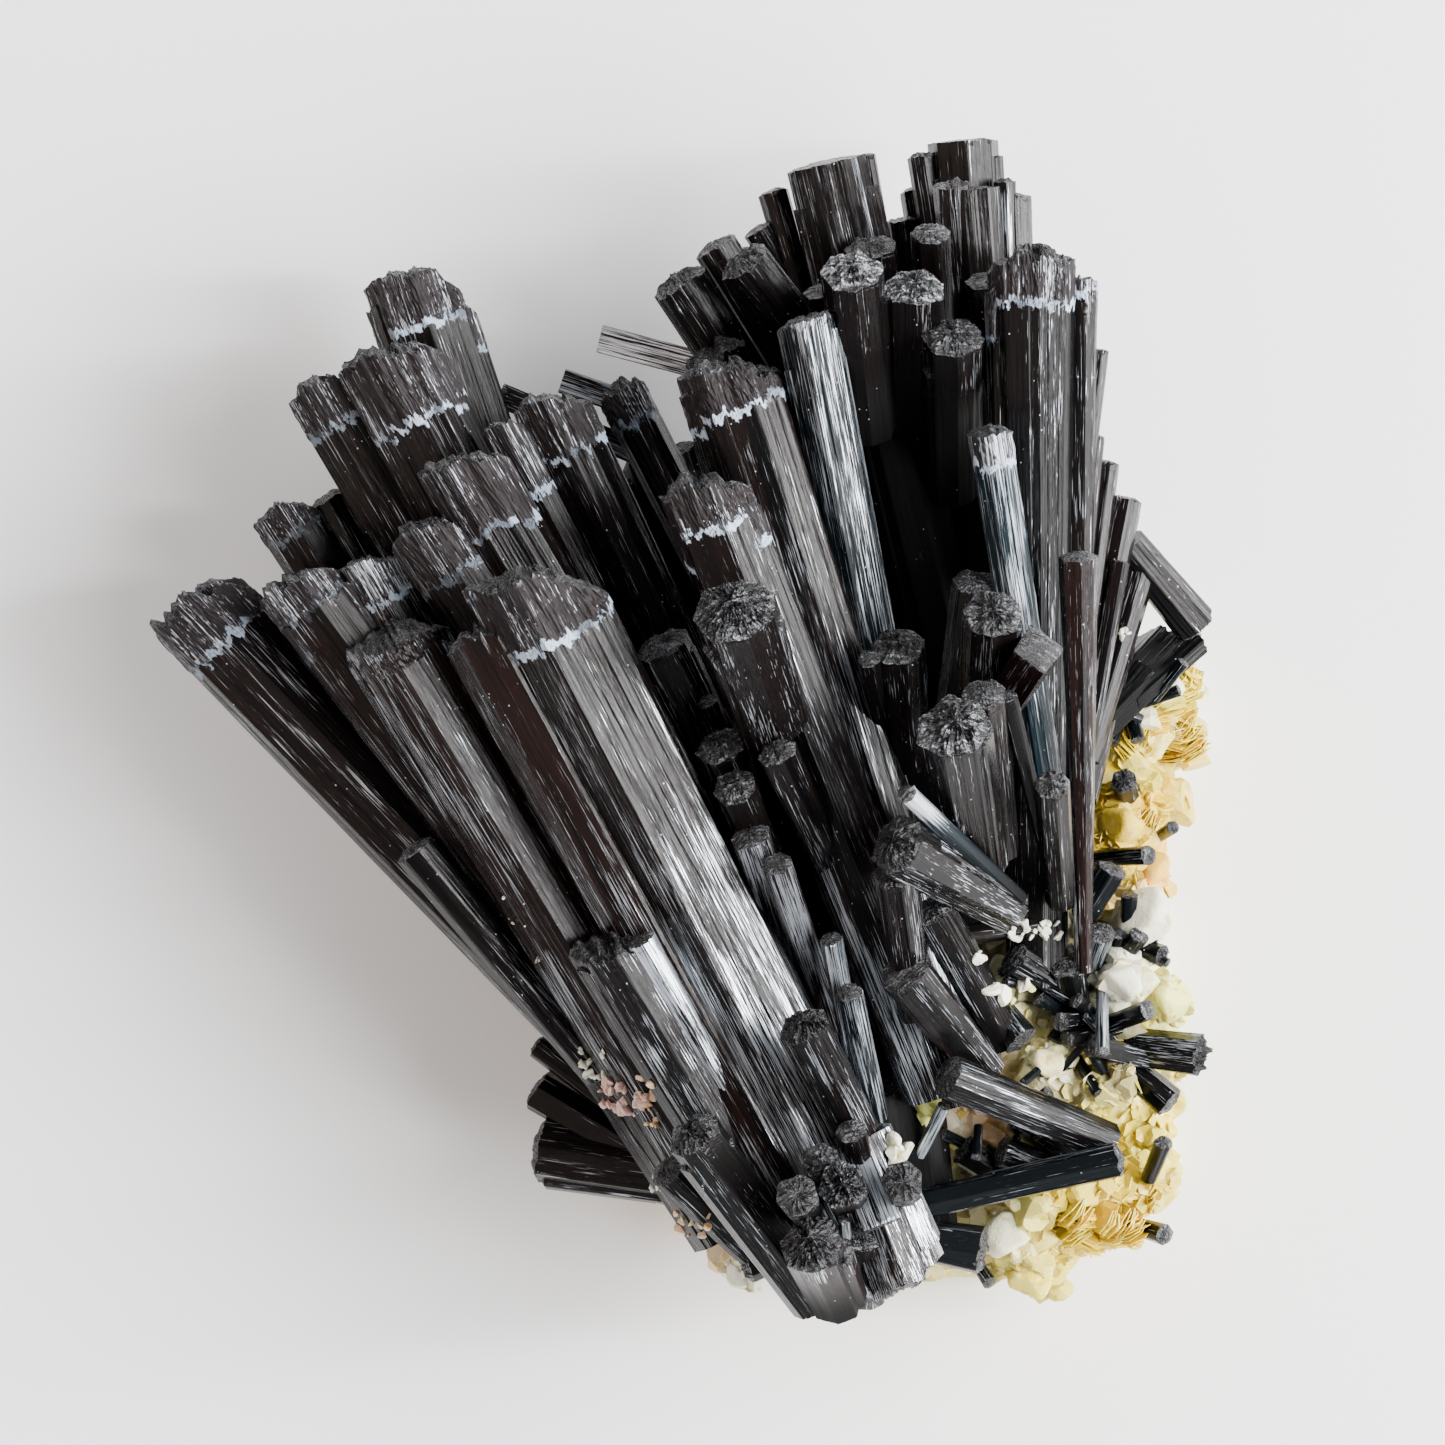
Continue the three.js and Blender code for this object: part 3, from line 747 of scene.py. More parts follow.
# Scaly ends with many painted highlights.
PALE_SCALY = dict(SCALY, shine=3)
SPIKE = dict(fade=6, jag=0.9, rough_end=0.06, tone=0.3)
SPLINTERY = dict(jag=1.6, rough_end=0.1, tone=0, shine=0.15, fade=1, rib=3)
DARK_SCALY = dict(jag=0.6, dome=0.14, rough_end=0.05, tone=0.2, shine=0.22, dull=0.7)

gather(
    "top_tuft",
    bundle((678, 277, 16), (860, 560, 12), 3.4, 31, SCALY, fade=8),
    bundle((713, 243, 14.5), (860, 480, 12), 2.6, 32, fade=5, tone=0.5),
    bundle((742, 260, 19.5), (870, 420, 14), 3.1, 33, SCALY, fade=6),
    bundle((757, 226, 12.5), (840, 360, 11), 1.8, 34, fade=4, tone=0.5),
    bundle((826, 160, 14), (948, 680, 12.6), 5.0, 35, FLAT_TOP, turn=-20, fade=8),
    bundle((773, 188, 12), (845, 440, 12.6), 1.8, 36, fade=6, tone=0.5),
    bundle((866, 152, 13), (925, 480, 12.9), 1.2, 37, fade=6, tone=0.5),
    bundle((850, 272, 24.5), (868, 430, 16.5), 3.6, 38, PALE_SCALY, fade=5),
    bundle((870, 245, 18), (895, 430, 12), 3.0, 39, fade=4, tone=0.3),
    bundle((817, 291, 20), (852, 420, 15), 1.6, 40, fade=3, tone=0.3),
    bundle((914, 287, 22), (915, 440, 14), 3.3, 41, PALE_SCALY, fade=4),
    bundle((951, 337, 22), (955, 490, 14), 3.4, 42, SCALY, fade=3),
    bundle((930, 233, 20), (942, 420, 12.5), 2.3, 43, SCALY, fade=5),
    bundle((965, 136, 10), (1015, 900, 10), 4.2, 44, FLAT_TOP, turn=-6, fade=11),
    bundle((923, 150, 10.5), (964, 420, 10.3), 1.7, 175, SPIKE),
    bundle((1006, 176, 12.5), (1014, 420, 12), 1.3, 176, SPIKE),
    bundle((951, 180, 14.5), (974, 420, 12.6), 2.2, 177, SPIKE),
    bundle((918, 184, 9), (970, 520, 9.6), 2.0, 45, fade=6),
    bundle((968, 186, 13.5), (1000, 580, 12.4), 3.8, 46, FLAT_TOP, turn=-16, fade=7),
    bundle((1016, 192, 12), (1029, 540, 11.6), 1.8, 47, fade=8),
    bundle((904, 215, 9.5), (946, 520, 9.4), 2.2, 48, fade=3),
    bundle((712, 346, 17), (850, 640, 13), 3.8, 49, fade=5, jag=1.2, rough_end=0.06, tone=0, shine=0.08),
    bundle(
        (625, 397, 12), (880, 900, 13.4), 2.8, 50,
        cap=2.6, line=0.3, rise=1, jag=1.6, rough_end=0.08, tone=0.1, shine=0.3, rib=2,
    ),
    bundle((655, 450, 11), (820, 800, 10), 2.4, 51, fade=2, tone=0.3),
    bundle((600, 337, 12.7), (751, 378, 14.5), 1.7, 52, SLAB, faces=(-90, -12, 90, 170), depth=0.55),
    bundle((561, 379, 11.7), (645, 408, 12), 1.6, 53, SLAB, faces=(-90, -8, 90, 170), depth=0.6),
    bundle((498, 392, 9.6), (668, 464, 10.8), 1.6, 54, SLAB, faces=(-90, -8, 90, 170), depth=0.5, silver=0.2),
)

# %% [markdown]
# ## The columns
# Three stout upright crystals and the thin rods beside them. They stand against the matrix on the right.

# %% Grow the columns
# The few faces of a black splintery crystal.
SPLINTER_FACES = (-80, -25, 55, 110, 180)

columns = gather(
    "columns",
    bundle(
        (1030, 252, 21.5), (1040, 985, 15), 4.7, 61, capped(3.0, 0.3, tone=0.1, slant=(0, 0.15)),
        turn=-4, taper=0.5,
    ),
    bundle((985, 279, 20), (1010, 420, 16), 2.4, 62, fade=6),
    bundle(
        (1080, 279, 20), (1080, 975, 16), 2.1, 63, capped(0.9, 0.2, slant=(0, 0.1)),
        taper=0.3, silver=0.2,
    ),
    bundle((1060, 259, 19.5), (1064, 500, 18.5), 1.7, 64, fade=8),
    bundle((1101, 350, 18), (1084, 500, 18.5), 0.9, 65),
    bundle((1107, 462, 16.5), (1085, 640, 17.5), 1.5, 66),
    bundle((1097, 436, 18), (1083, 600, 18), 0.9, 67),
    bundle((1075, 557, 24), (1086, 972, 16.5), 2.2, 68, tone=1.0, jag=0.2, taper=0.3),
    bundle((1127, 498, 15.5), (1084, 720, 17), 1.9, 69),
    bundle((1120, 561, 17), (1084, 770, 17), 1.2, 70),
    bundle((1148, 549, 13.5), (1086, 760, 16), 2.0, 71),
    bundle((1200, 627, 12), (1128, 543, 14.5), 2.6, 72, tone=0.3),
    bundle((1176, 642, 9.5), (1087, 732, 14.5), 3.0, 73, SPLINTERY, faces=SPLINTER_FACES),
    bundle((1200, 637, 10), (1130, 700, 12.5), 2.1, 79, SPLINTERY, faces=SPLINTER_FACES),
    bundle((1150, 668, 12), (1090, 735, 14.5), 1.8, 80, SPLINTERY, faces=SPLINTER_FACES),
    bundle((1120, 642, 12), (1082, 800, 16), 2.2, 74),
    bundle(
        (805, 322, 23), (886, 730, 16.2), 3.6, 75,
        faces=(-120, -70, -35, 18, 70, 120, 180), tone=-0.4, silver=0.3, shine=0.2, slant=(0.1, 0.3),
    ),
    bundle((733, 374, 21), (960, 1100, 14), 6.1, 76, capped(1.9), turn=4, sweep=0.6),
    bundle((704, 489, 25), (940, 1090, 17), 5.2, 77, capped(2.2), sweep=0.6),
    bundle(
        (986, 430, 25.5), (1048, 810, 18), 2.4, 78, capped(2.2, 0.2, tone=-1, slant=(-0.1, 0.1), rounded=0.1),
        turn=-20, silver=0.35,
    ),
)

# %% [markdown]
# ## The stubs in the middle and at the foot
# These are short and lean towards the viewer, so their broken ends show more than their sides.

# %% Grow the stubs
middle_stubs = gather(
    "middle_stubs",
    bundle((733, 608, 31), (772, 722, 24), 5.0, 81, SCALY, shine=1.1),
    bundle((661, 642, 22), (740, 800, 17), 3.2, 82),
    bundle((707, 700, 22), (745, 790, 18), 1.3, 83),
    bundle((720, 743, 24), (770, 860, 18), 2.9, 84, SCALY),
    bundle((775, 750, 27), (835, 880, 20), 2.3, 85, SCALY),
    bundle((734, 785, 26), (780, 890, 18), 2.6, 86, SCALY),
    bundle((750, 833, 25), (800, 985, 16.5), 2.3, 87, tone=1, silver=0.3),
    bundle((776, 861, 26), (838, 1040, 15), 1.8, 88, tone=1, silver=0.4),
    bundle((830, 936, 24), (868, 1130, 15.5), 1.3, 89, tone=-0.6, silver=0.5),
    bundle((849, 989, 24), (880, 1125, 16), 1.5, 90, tone=-0.4, silver=0.3),
    bundle((893, 841, 30), (1012, 911, 20), 3.4, 91, DARK_SCALY, turn=-28, dull=0, silver=0.15, taper=0.6),
    bundle((893, 870, 28), (915, 1010, 20), 2.6, 92, tone=0.3, shine=0.1),
    bundle((903, 792, 32), (1018, 898, 20.5), 1.2, 93, turn=-10, tone=-1, silver=1.1, fade=6),
    bundle((950, 724, 32.5), (975, 860, 21), 4.3, 94, SCALY, turn=-26, shine=1.3),
    bundle((980, 693, 29), (1000, 850, 20), 2.6, 95),
    bundle((990, 613, 28), (985, 775, 12.5), 3.3, 96, SCALY),
    bundle((976, 581, 22), (955, 730, 16), 2.8, 97),
    bundle(
        (1036, 650, 28), (985, 735, 20), 2.5, 98,
        faces=(-90, -8, 82, 172), tone=1, jag=0.1, rough_end=0.004,
    ),
    bundle((897, 644, 23), (910, 760, 16), 3.0, 99, SCALY),
    bundle((868, 659, 24), (888, 745, 17), 1.3, 100, tone=0.2),
    bundle((918, 547, 14), (955, 780, 12), 2.4, 101, fade=3, tone=0.2),
    bundle((1004, 696, 28), (1056, 890, 18), 1.1, 102),
    bundle((1048, 782, 27), (1060, 900, 17.5), 2.1, 103, SCALY),
    bundle(
        (803, 1021, 26.5), (885, 1185, 19), 3.0, 104,
        faces=RIDGED, tone=0.3, silver=0.15, shine=0.05, rough_end=0.07,
    ),
    bundle((903, 969, 24), (985, 1070, 17), 3.0, 105, FLAT_TOP),
    bundle((930, 907, 24), (1005, 1040, 17), 2.6, 106, tone=0.3),
    bundle((850, 1126, 24.5), (872, 1205, 19), 1.8, 107, tone=0.3),
    bundle((945, 1074, 20.5), (1110, 1142, 15), 2.7, 108, turn=-22, tone=0.1),
    bundle((1022, 1042, 18), (975, 985, 16.5), 2.1, 109, tone=0, shine=0.05),
    bundle((946, 936, 17.5), (1040, 926, 16.5), 1.3, 110, tone=0.5),
)
foot_stubs = gather(
    "foot_stubs",
    bundle(
        (692, 1129, 26), (815, 1300, 18), 3.3, 121, DARK_SCALY,
        faces=(-120, -70, -24, 24, 80, 125, 180), dull=0.1,
    ),
    bundle((667, 1167, 21), (750, 1250, 17), 2.4, 122, DARK_SCALY),
    bundle((744, 1266, 14.5), (820, 1235, 14), 2.4, 123, DARK_SCALY),
    bundle((796, 1189, 28.5), (803, 1206, 20), 2.4, 124, DARK_SCALY),
    bundle((820, 1158, 26), (827, 1176, 19), 2.2, 125, DARK_SCALY),
    bundle(
        (841, 1179, 27), (850, 1198, 19), 2.8, 126,
        jag=0.8, rough_end=0.07, shine=0.6, dull=0.7, tone=0.5,
    ),
    bundle(
        (809, 1237, 27), (836, 1298, 20.5), 3.7, 127,
        turn=-26, fade=1.5, jag=0.7, rough_end=0.06, dome=0.2, shine=0.4, tone=1, silver=0.25,
    ),
    bundle((901, 1177, 27), (905, 1192, 19), 2.4, 128, DARK_SCALY),
    bundle(
        (906, 1276, 19.5), (852, 1135, 20.8), 5.2, 129,
        faces=(-115, -72, -26, 34, 80, 125, 180), tone=1, silver=0.5, jag=0.7, slant=(0.3, 0.2),
    ),
    bundle((881, 1222, 23.4), (852, 1148, 22.6), 2.3, 131, SLAB, faces=(-90, 0, 90, 180), depth=0.5),
    bundle((843, 1216, 23), (852, 1290, 19), 0.7, 130, tone=-0.3, silver=0.5),
    bundle((862, 1230, 22), (868, 1296, 16), 2.4, 132, tone=0.9, dull=0.3),
    bundle((800, 1150, 15.5), (870, 1290, 13), 5.9, 133, fade=0, tone=0.2, dull=0.5),
    bundle((880, 1090, 14), (908, 1235, 13.5), 5.9, 134, fade=0, tone=0.2, dull=0.5),
    bundle((984, 1252, 15.5), (915, 1240, 15), 2.9, 135, tone=-0.2, dull=0.3),
    bundle((1122, 1158, 17), (915, 1206, 15.5), 2.1, 136, tone=-0.2, jag=1),
    bundle((944, 1105, 18), (912, 1172, 15), 0.8, 137, tone=-0.6, silver=0.7),
)

# %% [markdown]
# ## Loose crystals on the matrix
# Small crystals grow out of the matrix by themselves, clear of the spray. Broken rods and splinters fill the
# gap between the stubs and the matrix. The rods have rows of their own, and the splinters are strewn.

# %% Grow the loose crystals
gather(
    "stray_crystals",
    bundle((1126, 781, 13), (1134, 800, 7.5), 1.5, 141, DARK_SCALY),
    bundle((1150, 855, 15), (1098, 859, 11), 1.2, 142, tone=-0.2),
    bundle((1176, 828, 11), (1160, 840, 8), 0.8, 143, tone=-0.2),
    bundle((1207, 1058, 13), (1110, 1046, 11), 2.6, 144, jag=1.6, rough_end=0.1, tone=0, shine=0.3),
    bundle((1174, 1106, 12), (1108, 1050, 11), 1.9, 145, tone=0),
    bundle((1149, 1010, 16.5), (1085, 1036, 12), 1.2, 146, tone=0),
    bundle((1060, 1022, 16.5), (1105, 1018, 12), 1.1, 147, tone=0),
    bundle((1102, 1052, 18), (1104, 980, 13), 0.8, 148, tone=-0.8, silver=0.5),
    bundle((1168, 1238, 11.5), (1142, 1231, 9.5), 1.3, 149, tone=0),
    bundle((1166, 1144, 12.5), (1152, 1182, 10), 1.1, 150, tone=0),
    bundle((1103, 932, 16), (1088, 985, 11), 1.5, 151, tone=-0.8, silver=0.5),
    nodes=[f"stray_crystal_{number:02d}" for number in range(1, 12)],
)
rods = (
    bundle((1076, 1000, 15.5), (1108, 1030, 13), 1.0, 161, tone=0),
    bundle((1066, 1040, 15.5), (1120, 1028, 13), 1.2, 162, tone=0),
    bundle((1092, 1046, 15.5), (1150, 1062, 12), 1.5, 163, tone=0),
    bundle((1042, 1126, 14.5), (1105, 1165, 13), 2.0, 164, tone=0),
    bundle((1000, 1152, 14.5), (1070, 1178, 13), 1.9, 165, tone=0),
    bundle((1016, 1118, 14), (1062, 1150, 13), 1.7, 166, tone=0),
    bundle((962, 1150, 14), (1015, 1186, 13), 1.9, 167, tone=0),
    bundle((1012, 958, 16.5), (1075, 995, 14), 2.2, 168, tone=0),
    bundle((1066, 962, 16), (1078, 1010, 13), 2.2, 169, tone=0),
    bundle((1166, 958, 13.5), (1110, 938, 11), 1.3, 170, tone=0, jag=1),
    bundle((1142, 934, 14.5), (1118, 968, 12), 1.2, 171, tone=0, jag=1),
    bundle((1114, 868, 16.5), (1084, 918, 15), 1.8, 172, tone=-0.2),
    bundle((992, 1288, 10), (980, 1270, 9), 0.9, 173, tone=0),
)
# Splinters: the middle of each patch, its half width and half height in mm and their count.
SPLINTER_PATCHES = (
    ((1050, 975, 14.2), 2.4, 1.6, 9),
    ((1075, 1045, 13.6), 2.6, 1.8, 9),
    ((1020, 1140, 13.2), 3, 1.6, 8),
    ((1130, 950, 12), 1.6, 1.2, 5),
    ((1130, 700, 10.5), 1.6, 2.2, 6),
)
PATCH_HALF_DEPTH = 1.2


def splinter(scatter, middle, half_width, half_height):
    """A thin prism that points any way from a random place in a patch."""
    spread = np.array([half_width, half_height, PATCH_HALF_DEPTH])
    root = at(*middle) + spread * scatter.uniform(-1, 1, 3)
    heading, climb = scatter.uniform(0, 2 * np.pi), scatter.uniform(0.1, 0.9)
    reach = scatter.uniform(1.4, 3)
    tip = root + reach * np.array([math.cos(heading), math.sin(heading), climb])
    return grow(tip, root, scatter.uniform(0.5, 1.1), int(scatter.integers(1, 9999)), SECTION, tone=-0.2)


scatter = np.random.default_rng(700)
splinters = [
    splinter(scatter, middle, half_width, half_height)
    for middle, half_width, half_height, count in SPLINTER_PATCHES
    for _ in range(count)
]
gather("small_crystals", *rods, *splinters)
for blank, _, _ in BLANKS:
    bpy.data.objects.remove(blank)
print("blanks cleared away")

# %% [markdown]
# ## Matrix
# The crystals grew on a crumbly bed of cream feldspar and pale mica. Its body is a copy of the CAD solid,
# remeshed fine enough to be worn down by noise. Feldspar and mica are then bedded into it. The stain goes from
# white to honey and orange in patches, and a few dark patches are painted shade where the matrix lies deep
# between the crystals. Every corner keeps its own stain and painted shade, worked out from a few named patches.

# %% Stains
WHITE = np.array([0.82, 0.81, 0.66])
CREAM = np.array([0.78, 0.64, 0.05])
YELLOW_GREEN = np.array([0.78, 0.76, 0.22])
GOLD = np.array([0.72, 0.47, 0.012])
HONEY = np.array([0.66, 0.44, 0.012])
ORANGE = np.array([0.78, 0.40, 0.006])
PEACH = np.array([0.84, 0.56, 0.36])
PINK = np.array([0.66, 0.42, 0.38])
SHADE = np.array([0.02, 0.016, 0.014])
PLAIN_STAIN = 0.45 * CREAM + 0.55 * WHITE
PLAIN_SHARE = 0.08

# Each patch: the picture place of its middle, its radius in mm and its stain. The SHADE patches are painted
# shade where the matrix lies deep between the crystals.
STAIN_PATCHES = (
    (1170, 695, 2.6, WHITE),
    (1150, 765, 1.8, CREAM),
    (1205, 765, 1.6, GOLD),
    (1135, 820, 2.0, GOLD),
    (1162, 878, 1.4, ORANGE),
    (1120, 860, 1.5, HONEY),
    (1122, 980, 1.8, WHITE),
    (1143, 915, 1.6, WHITE),
    (1172, 1005, 1.8, YELLOW_GREEN),
    (982, 1108, 1.8, PEACH),
    (1035, 930, 1.4, WHITE),
    (1030, 1280, 1.8, CREAM),
    (1012, 1240, 1.3, WHITE),
    (925, 1135, 1.4, WHITE),
    (1110, 1228, 2.8, HONEY),
    (1140, 1150, 2.2, CREAM),
    (1060, 1190, 2.2, CREAM),
    (625, 1098, 1.6, PEACH),
    # Partly stain, partly painted warm reflected light and shade.
    (692, 1222, 1.6, PEACH),
    (768, 1290, 1.8, WHITE),
    # Painted shade: dark patches where the matrix lies deep between the crystals.
    (1035, 955, 1.4, SHADE),
    (1075, 985, 1.6, SHADE),
    (1140, 1055, 1.8, SHADE),
    (1065, 1145, 1.6, SHADE),
    (1000, 1160, 1.8, SHADE),
    (1098, 920, 1.2, SHADE),
)
WANDER_BELOW = 11
WANDER_REACH = 4


def stains(places):
    """Stained colour and painted shade at each place in mm: the nearest patches mixed, wandering lower down."""
    wander = np.array([blender_noise.noise_vector(Vector(place * 0.4)) for place in places])
    places = places + WANDER_REACH * np.clip(1 - places[:, 2:] / WANDER_BELOW, 0, 1) * wander
    share = np.zeros(len(places))
    mixed = np.zeros((len(places), 3))
    for picture_x, picture_y, radius, stain in STAIN_PATCHES:
        middle = at(picture_x, picture_y)
        away = np.hypot(places[:, 0] - middle[0], places[:, 1] - middle[1]) / radius
        weight = np.exp(-(away**2))
        share += weight
        mixed += weight[:, None] * stain
    return (mixed + PLAIN_SHARE * PLAIN_STAIN) / (share + PLAIN_SHARE)[:, None]


def stain_at(place):
    return stains(place[None, :])[0]


# %% The body of the matrix
VOXEL = 0.34
WEAR_DEPTH = 0.42
FLAT_REST = 0.4


def matrix_body():
    body = bpy.data.objects["matrix"].copy()
    body.data = body.data.copy()
    body.name = "matrix_body"
    bpy.context.collection.objects.link(body)
    deselect()
    body.select_set(True)
    bpy.context.view_layer.objects.active = body
    switch_to("EDIT")
    bpy.ops.mesh.select_all(action="SELECT")
    bpy.ops.mesh.remove_doubles(threshold=0.01 * MM)
    switch_to("OBJECT")
    remesh = body.modifiers.new("grain", "REMESH")
    remesh.mode = "VOXEL"
    remesh.voxel_size = VOXEL * MM
    bpy.ops.object.modifier_apply(modifier="grain")
    places = read(body.data.vertices, "co") / MM
    outward = read(body.data.vertices, "normal")
    rough = np.array([
        blender_noise.fractal(Vector(place * 0.55), 1.0, 2.0, 4)
        + 0.6 * blender_noise.cell(Vector(place * 1.1))
        for place in places
    ])
    sunk = WEAR_DEPTH * (np.clip(rough, -0.4, 1.1) - 0.75)
    sunk[places[:, 2] < FLAT_REST] = 0
    worn = places + outward * sunk[:, None]
    worn[:, 2] = np.maximum(worn[:, 2], 0)
    body.data.vertices.foreach_set("co", (worn * MM).ravel())
    body.data.update()
    keep(body.data, "stain", stains(worn))
    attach(body, "root")
    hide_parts("matrix")
    print("matrix body:", len(body.data.polygons), "faces")
    return body


body = matrix_body()

# %% [markdown]
# ## Feldspar
# Angular grains, cut from a ball by planes as cleavage does, cover the body. The biggest pieces are worn
# round, so they are cut grains that are remeshed and smoothed. Small crumbs also lie on the black crystals.
# Each kind is modelled a few times and copied with its own size and turn.

# %% Shapes that are copied
CUTS = 9
USUAL_TOP = 8


def cut_grain(seed):
    """A ball cut by planes all round, as cleavage leaves a grain."""
    random = np.random.default_rng(seed)
    deselect()
    bpy.ops.mesh.primitive_ico_sphere_add(subdivisions=2, radius=1, location=(0, 0, 0))
    grain = bpy.context.object
    switch_to("EDIT")
    for _ in range(CUTS):
        direction = Vector(random.normal(size=3)).normalized()
        bpy.ops.mesh.select_all(action="SELECT")
        bpy.ops.mesh.bisect(
            plane_co=direction * random.uniform(0.45, 0.75), plane_no=direction, use_fill=True,
            clear_outer=True,
        )
    bpy.ops.mesh.select_all(action="SELECT")
    bpy.ops.mesh.dissolve_limited(angle_limit=math.radians(4))
    bpy.ops.mesh.normals_make_consistent(inside=False)
    switch_to("OBJECT")
    return grain


def soft_lump(seed):
    """A cut grain whose edges are worn round."""
    lump = cut_grain(seed)
    even = lump.modifiers.new("even", "REMESH")
    even.mode = "VOXEL"
    even.voxel_size = 0.1
    bpy.ops.object.modifier_apply(modifier="even")
    worn = lump.modifiers.new("worn", "SMOOTH")
    worn.iterations = 7
    bpy.ops.object.modifier_apply(modifier="worn")
    return lump


class Heap:
    """Many placed copies of a few small shapes, which become one mesh."""

    def __init__(self):
        self.corners, self.faces, self.stains, self.count = [], [], [], 0

    def add(self, kind, place, size, turn, stain):
        """Adds a copy of a shape, squashed by size, turned and put in place (mm)."""
        local = read(kind.data.vertices, "co") * size
        self.corners.append(local @ np.array(turn.to_matrix()).T + place)
        self.faces += [[corner + self.count for corner in face.vertices] for face in kind.data.polygons]
        self.stains.append(np.tile(np.clip(stain, 0, 0.9), (len(local), 1)))
        self.count += len(local)

    def piece(self, name, slot, *nodes):
        mesh = bpy.data.meshes.new(name)
        mesh.from_pydata((np.concatenate(self.corners) * MM).tolist(), [], self.faces)
        made = add_object(name, mesh)
        keep(mesh, "stain", np.concatenate(self.stains))
        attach(made, "root")
        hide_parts(*nodes)
        print(name, len(self.corners), "copies,", len(self.faces), "faces")
        return made


# %% Places for grains and flakes
dice = np.random.default_rng(400)
# Open ground where the matrix shows: the picture place of its middle, its half width and half height in mm,
# its grains and its flakes.
OPEN_GROUND = (
    (1155, 760, 3.4, 6.6, 26, 300),
    (1140, 860, 3.6, 3.6, 18, 200),
    (1130, 980, 3.4, 3.6, 14, 20),
    (1165, 1010, 1.8, 3.2, 8, 30),
    (1130, 1110, 3.4, 4.2, 14, 60),
    (1075, 1180, 6.0, 3.8, 20, 100),
    (1110, 1225, 4.4, 2.4, 8, 420),
    (1030, 1255, 4.6, 3.0, 18, 80),
    (985, 1105, 2.4, 1.2, 8, 10),
    (1030, 1000, 3.0, 3.0, 8, 0),
    (925, 1135, 1.6, 0.9, 6, 0),
    (625, 1098, 1.8, 1.4, 8, 0),
    (692, 1225, 2.2, 1.0, 10, 4),
    (768, 1290, 2.0, 1.0, 10, 4),
)


def any_turn():
    return Euler(dice.uniform(0, 6.3, 3)).to_quaternion()


def near(picture_x, picture_y, half_width, half_height):
    """A random place round one in the picture, as x and y in mm."""
    middle = at(picture_x, picture_y)
    x = middle[0] + half_width * dice.uniform(-1, 1)
    y = middle[1] + half_height * dice.uniform(-1, 1)
    return x, y


def on_matrix(picture_x, picture_y, raised):
    """A place on the matrix in mm, raised by this much."""
    place = at(picture_x, picture_y)
    place[2] = (surface_below(body, *place[:2])[0] or USUAL_TOP) + raised
    return place


def on_open_ground(count_column):
    """Random places in mm on the open ground, with their normals."""
    found = []
    for row in OPEN_GROUND:
        for _ in range(row[count_column]):
            x, y = near(*row[:4])
            top, normal = surface_below(body, x, y)
            if top is not None and top > 1.5:
                found.append((np.array([x, y, top]), normal))
    return found


def anywhere(body, count):
    """Random places in mm all over a body but its underside, with their normals."""
    faces = body.data.polygons
    areas = read(faces, "area", 1)[:, 0]
    middles = read(faces, "center") / MM
    normals = read(faces, "normal")
    areas[(normals[:, 2] < -0.5) | (middles[:, 2] < 1.2)] = 0
    chosen = dice.choice(len(faces), count, p=areas / areas.sum())
    return list(zip(middles[chosen], normals[chosen]))


# %% Lumps, grains and crumbs
# The biggest lumps: their places in the picture and their radii in mm.
LUMPS = (
    (1143, 915, 1.9), (1122, 980, 1.5), (1174, 1004, 1.6), (1172, 690, 1.5), (1106, 1080, 1.3),
    (1012, 1240, 1.5), (1032, 1284, 1.4), (925, 1136, 1.1), (899, 1140, 0.9), (1022, 994, 1.2),
    (1046, 1064, 1.2), (1158, 745, 1.4), (1125, 822, 1.4), (1160, 872, 1.3), (1160, 1180, 1.3),
    (985, 1106, 1.1),
)
GRAINS_ANYWHERE = 480
# Crumbs on the crystals: the picture place of their middle, its half width and half height in mm, their
# count, their size in mm and their stain.
CRUMBS = (
    (592, 1064, 0.7, 0.9, 14, 0.4, WHITE),
    (625, 1098, 1.4, 1.0, 30, 0.45, PINK),
    (648, 1102, 0.5, 1.7, 14, 0.4, PEACH),
    (515, 910, 0.7, 1.4, 6, 0.14, WHITE),
    (536, 955, 0.3, 0.5, 3, 0.16, WHITE),
    (657, 1195, 0.4, 1.2, 10, 0.35, WHITE),
    (690, 1226, 1.1, 0.7, 14, 0.4, PEACH),
    (1128, 632, 0.4, 0.4, 5, 0.25, WHITE),
    (1036, 930, 1.5, 0.5, 20, 0.4, WHITE),
    (980, 955, 0.4, 0.4, 5, 0.4, WHITE),
    (1010, 985, 1.3, 0.6, 10, 1.0, WHITE),
    (1018, 992, 0.8, 0.5, 4, 0.6, YELLOW_GREEN),
    (899, 1142, 0.6, 0.9, 6, 1.0, WHITE),
    (924, 1112, 0.5, 0.9, 6, 0.9, YELLOW_GREEN),
    (1052, 1068, 1.4, 1.4, 16, 0.5, WHITE),
)

grain_kinds = [cut_grain(seed) for seed in range(5)]
lump_kinds = [soft_lump(seed) for seed in range(10, 14)]
lumps, grains, crumbs = Heap(), Heap(), Heap()
for number, (picture_x, picture_y, radius) in enumerate(LUMPS):
    place = on_matrix(picture_x, picture_y, 0.15 * radius)
    size = radius * dice.uniform(0.85, 1.15, 3)
    lumps.add(lump_kinds[number % 4], place, size, any_turn(), stain_at(place))
feldspar_lumps = lumps.piece("feldspar_lumps", "feldspar", "matrix")
feldspar_lumps.data.shade_smooth()

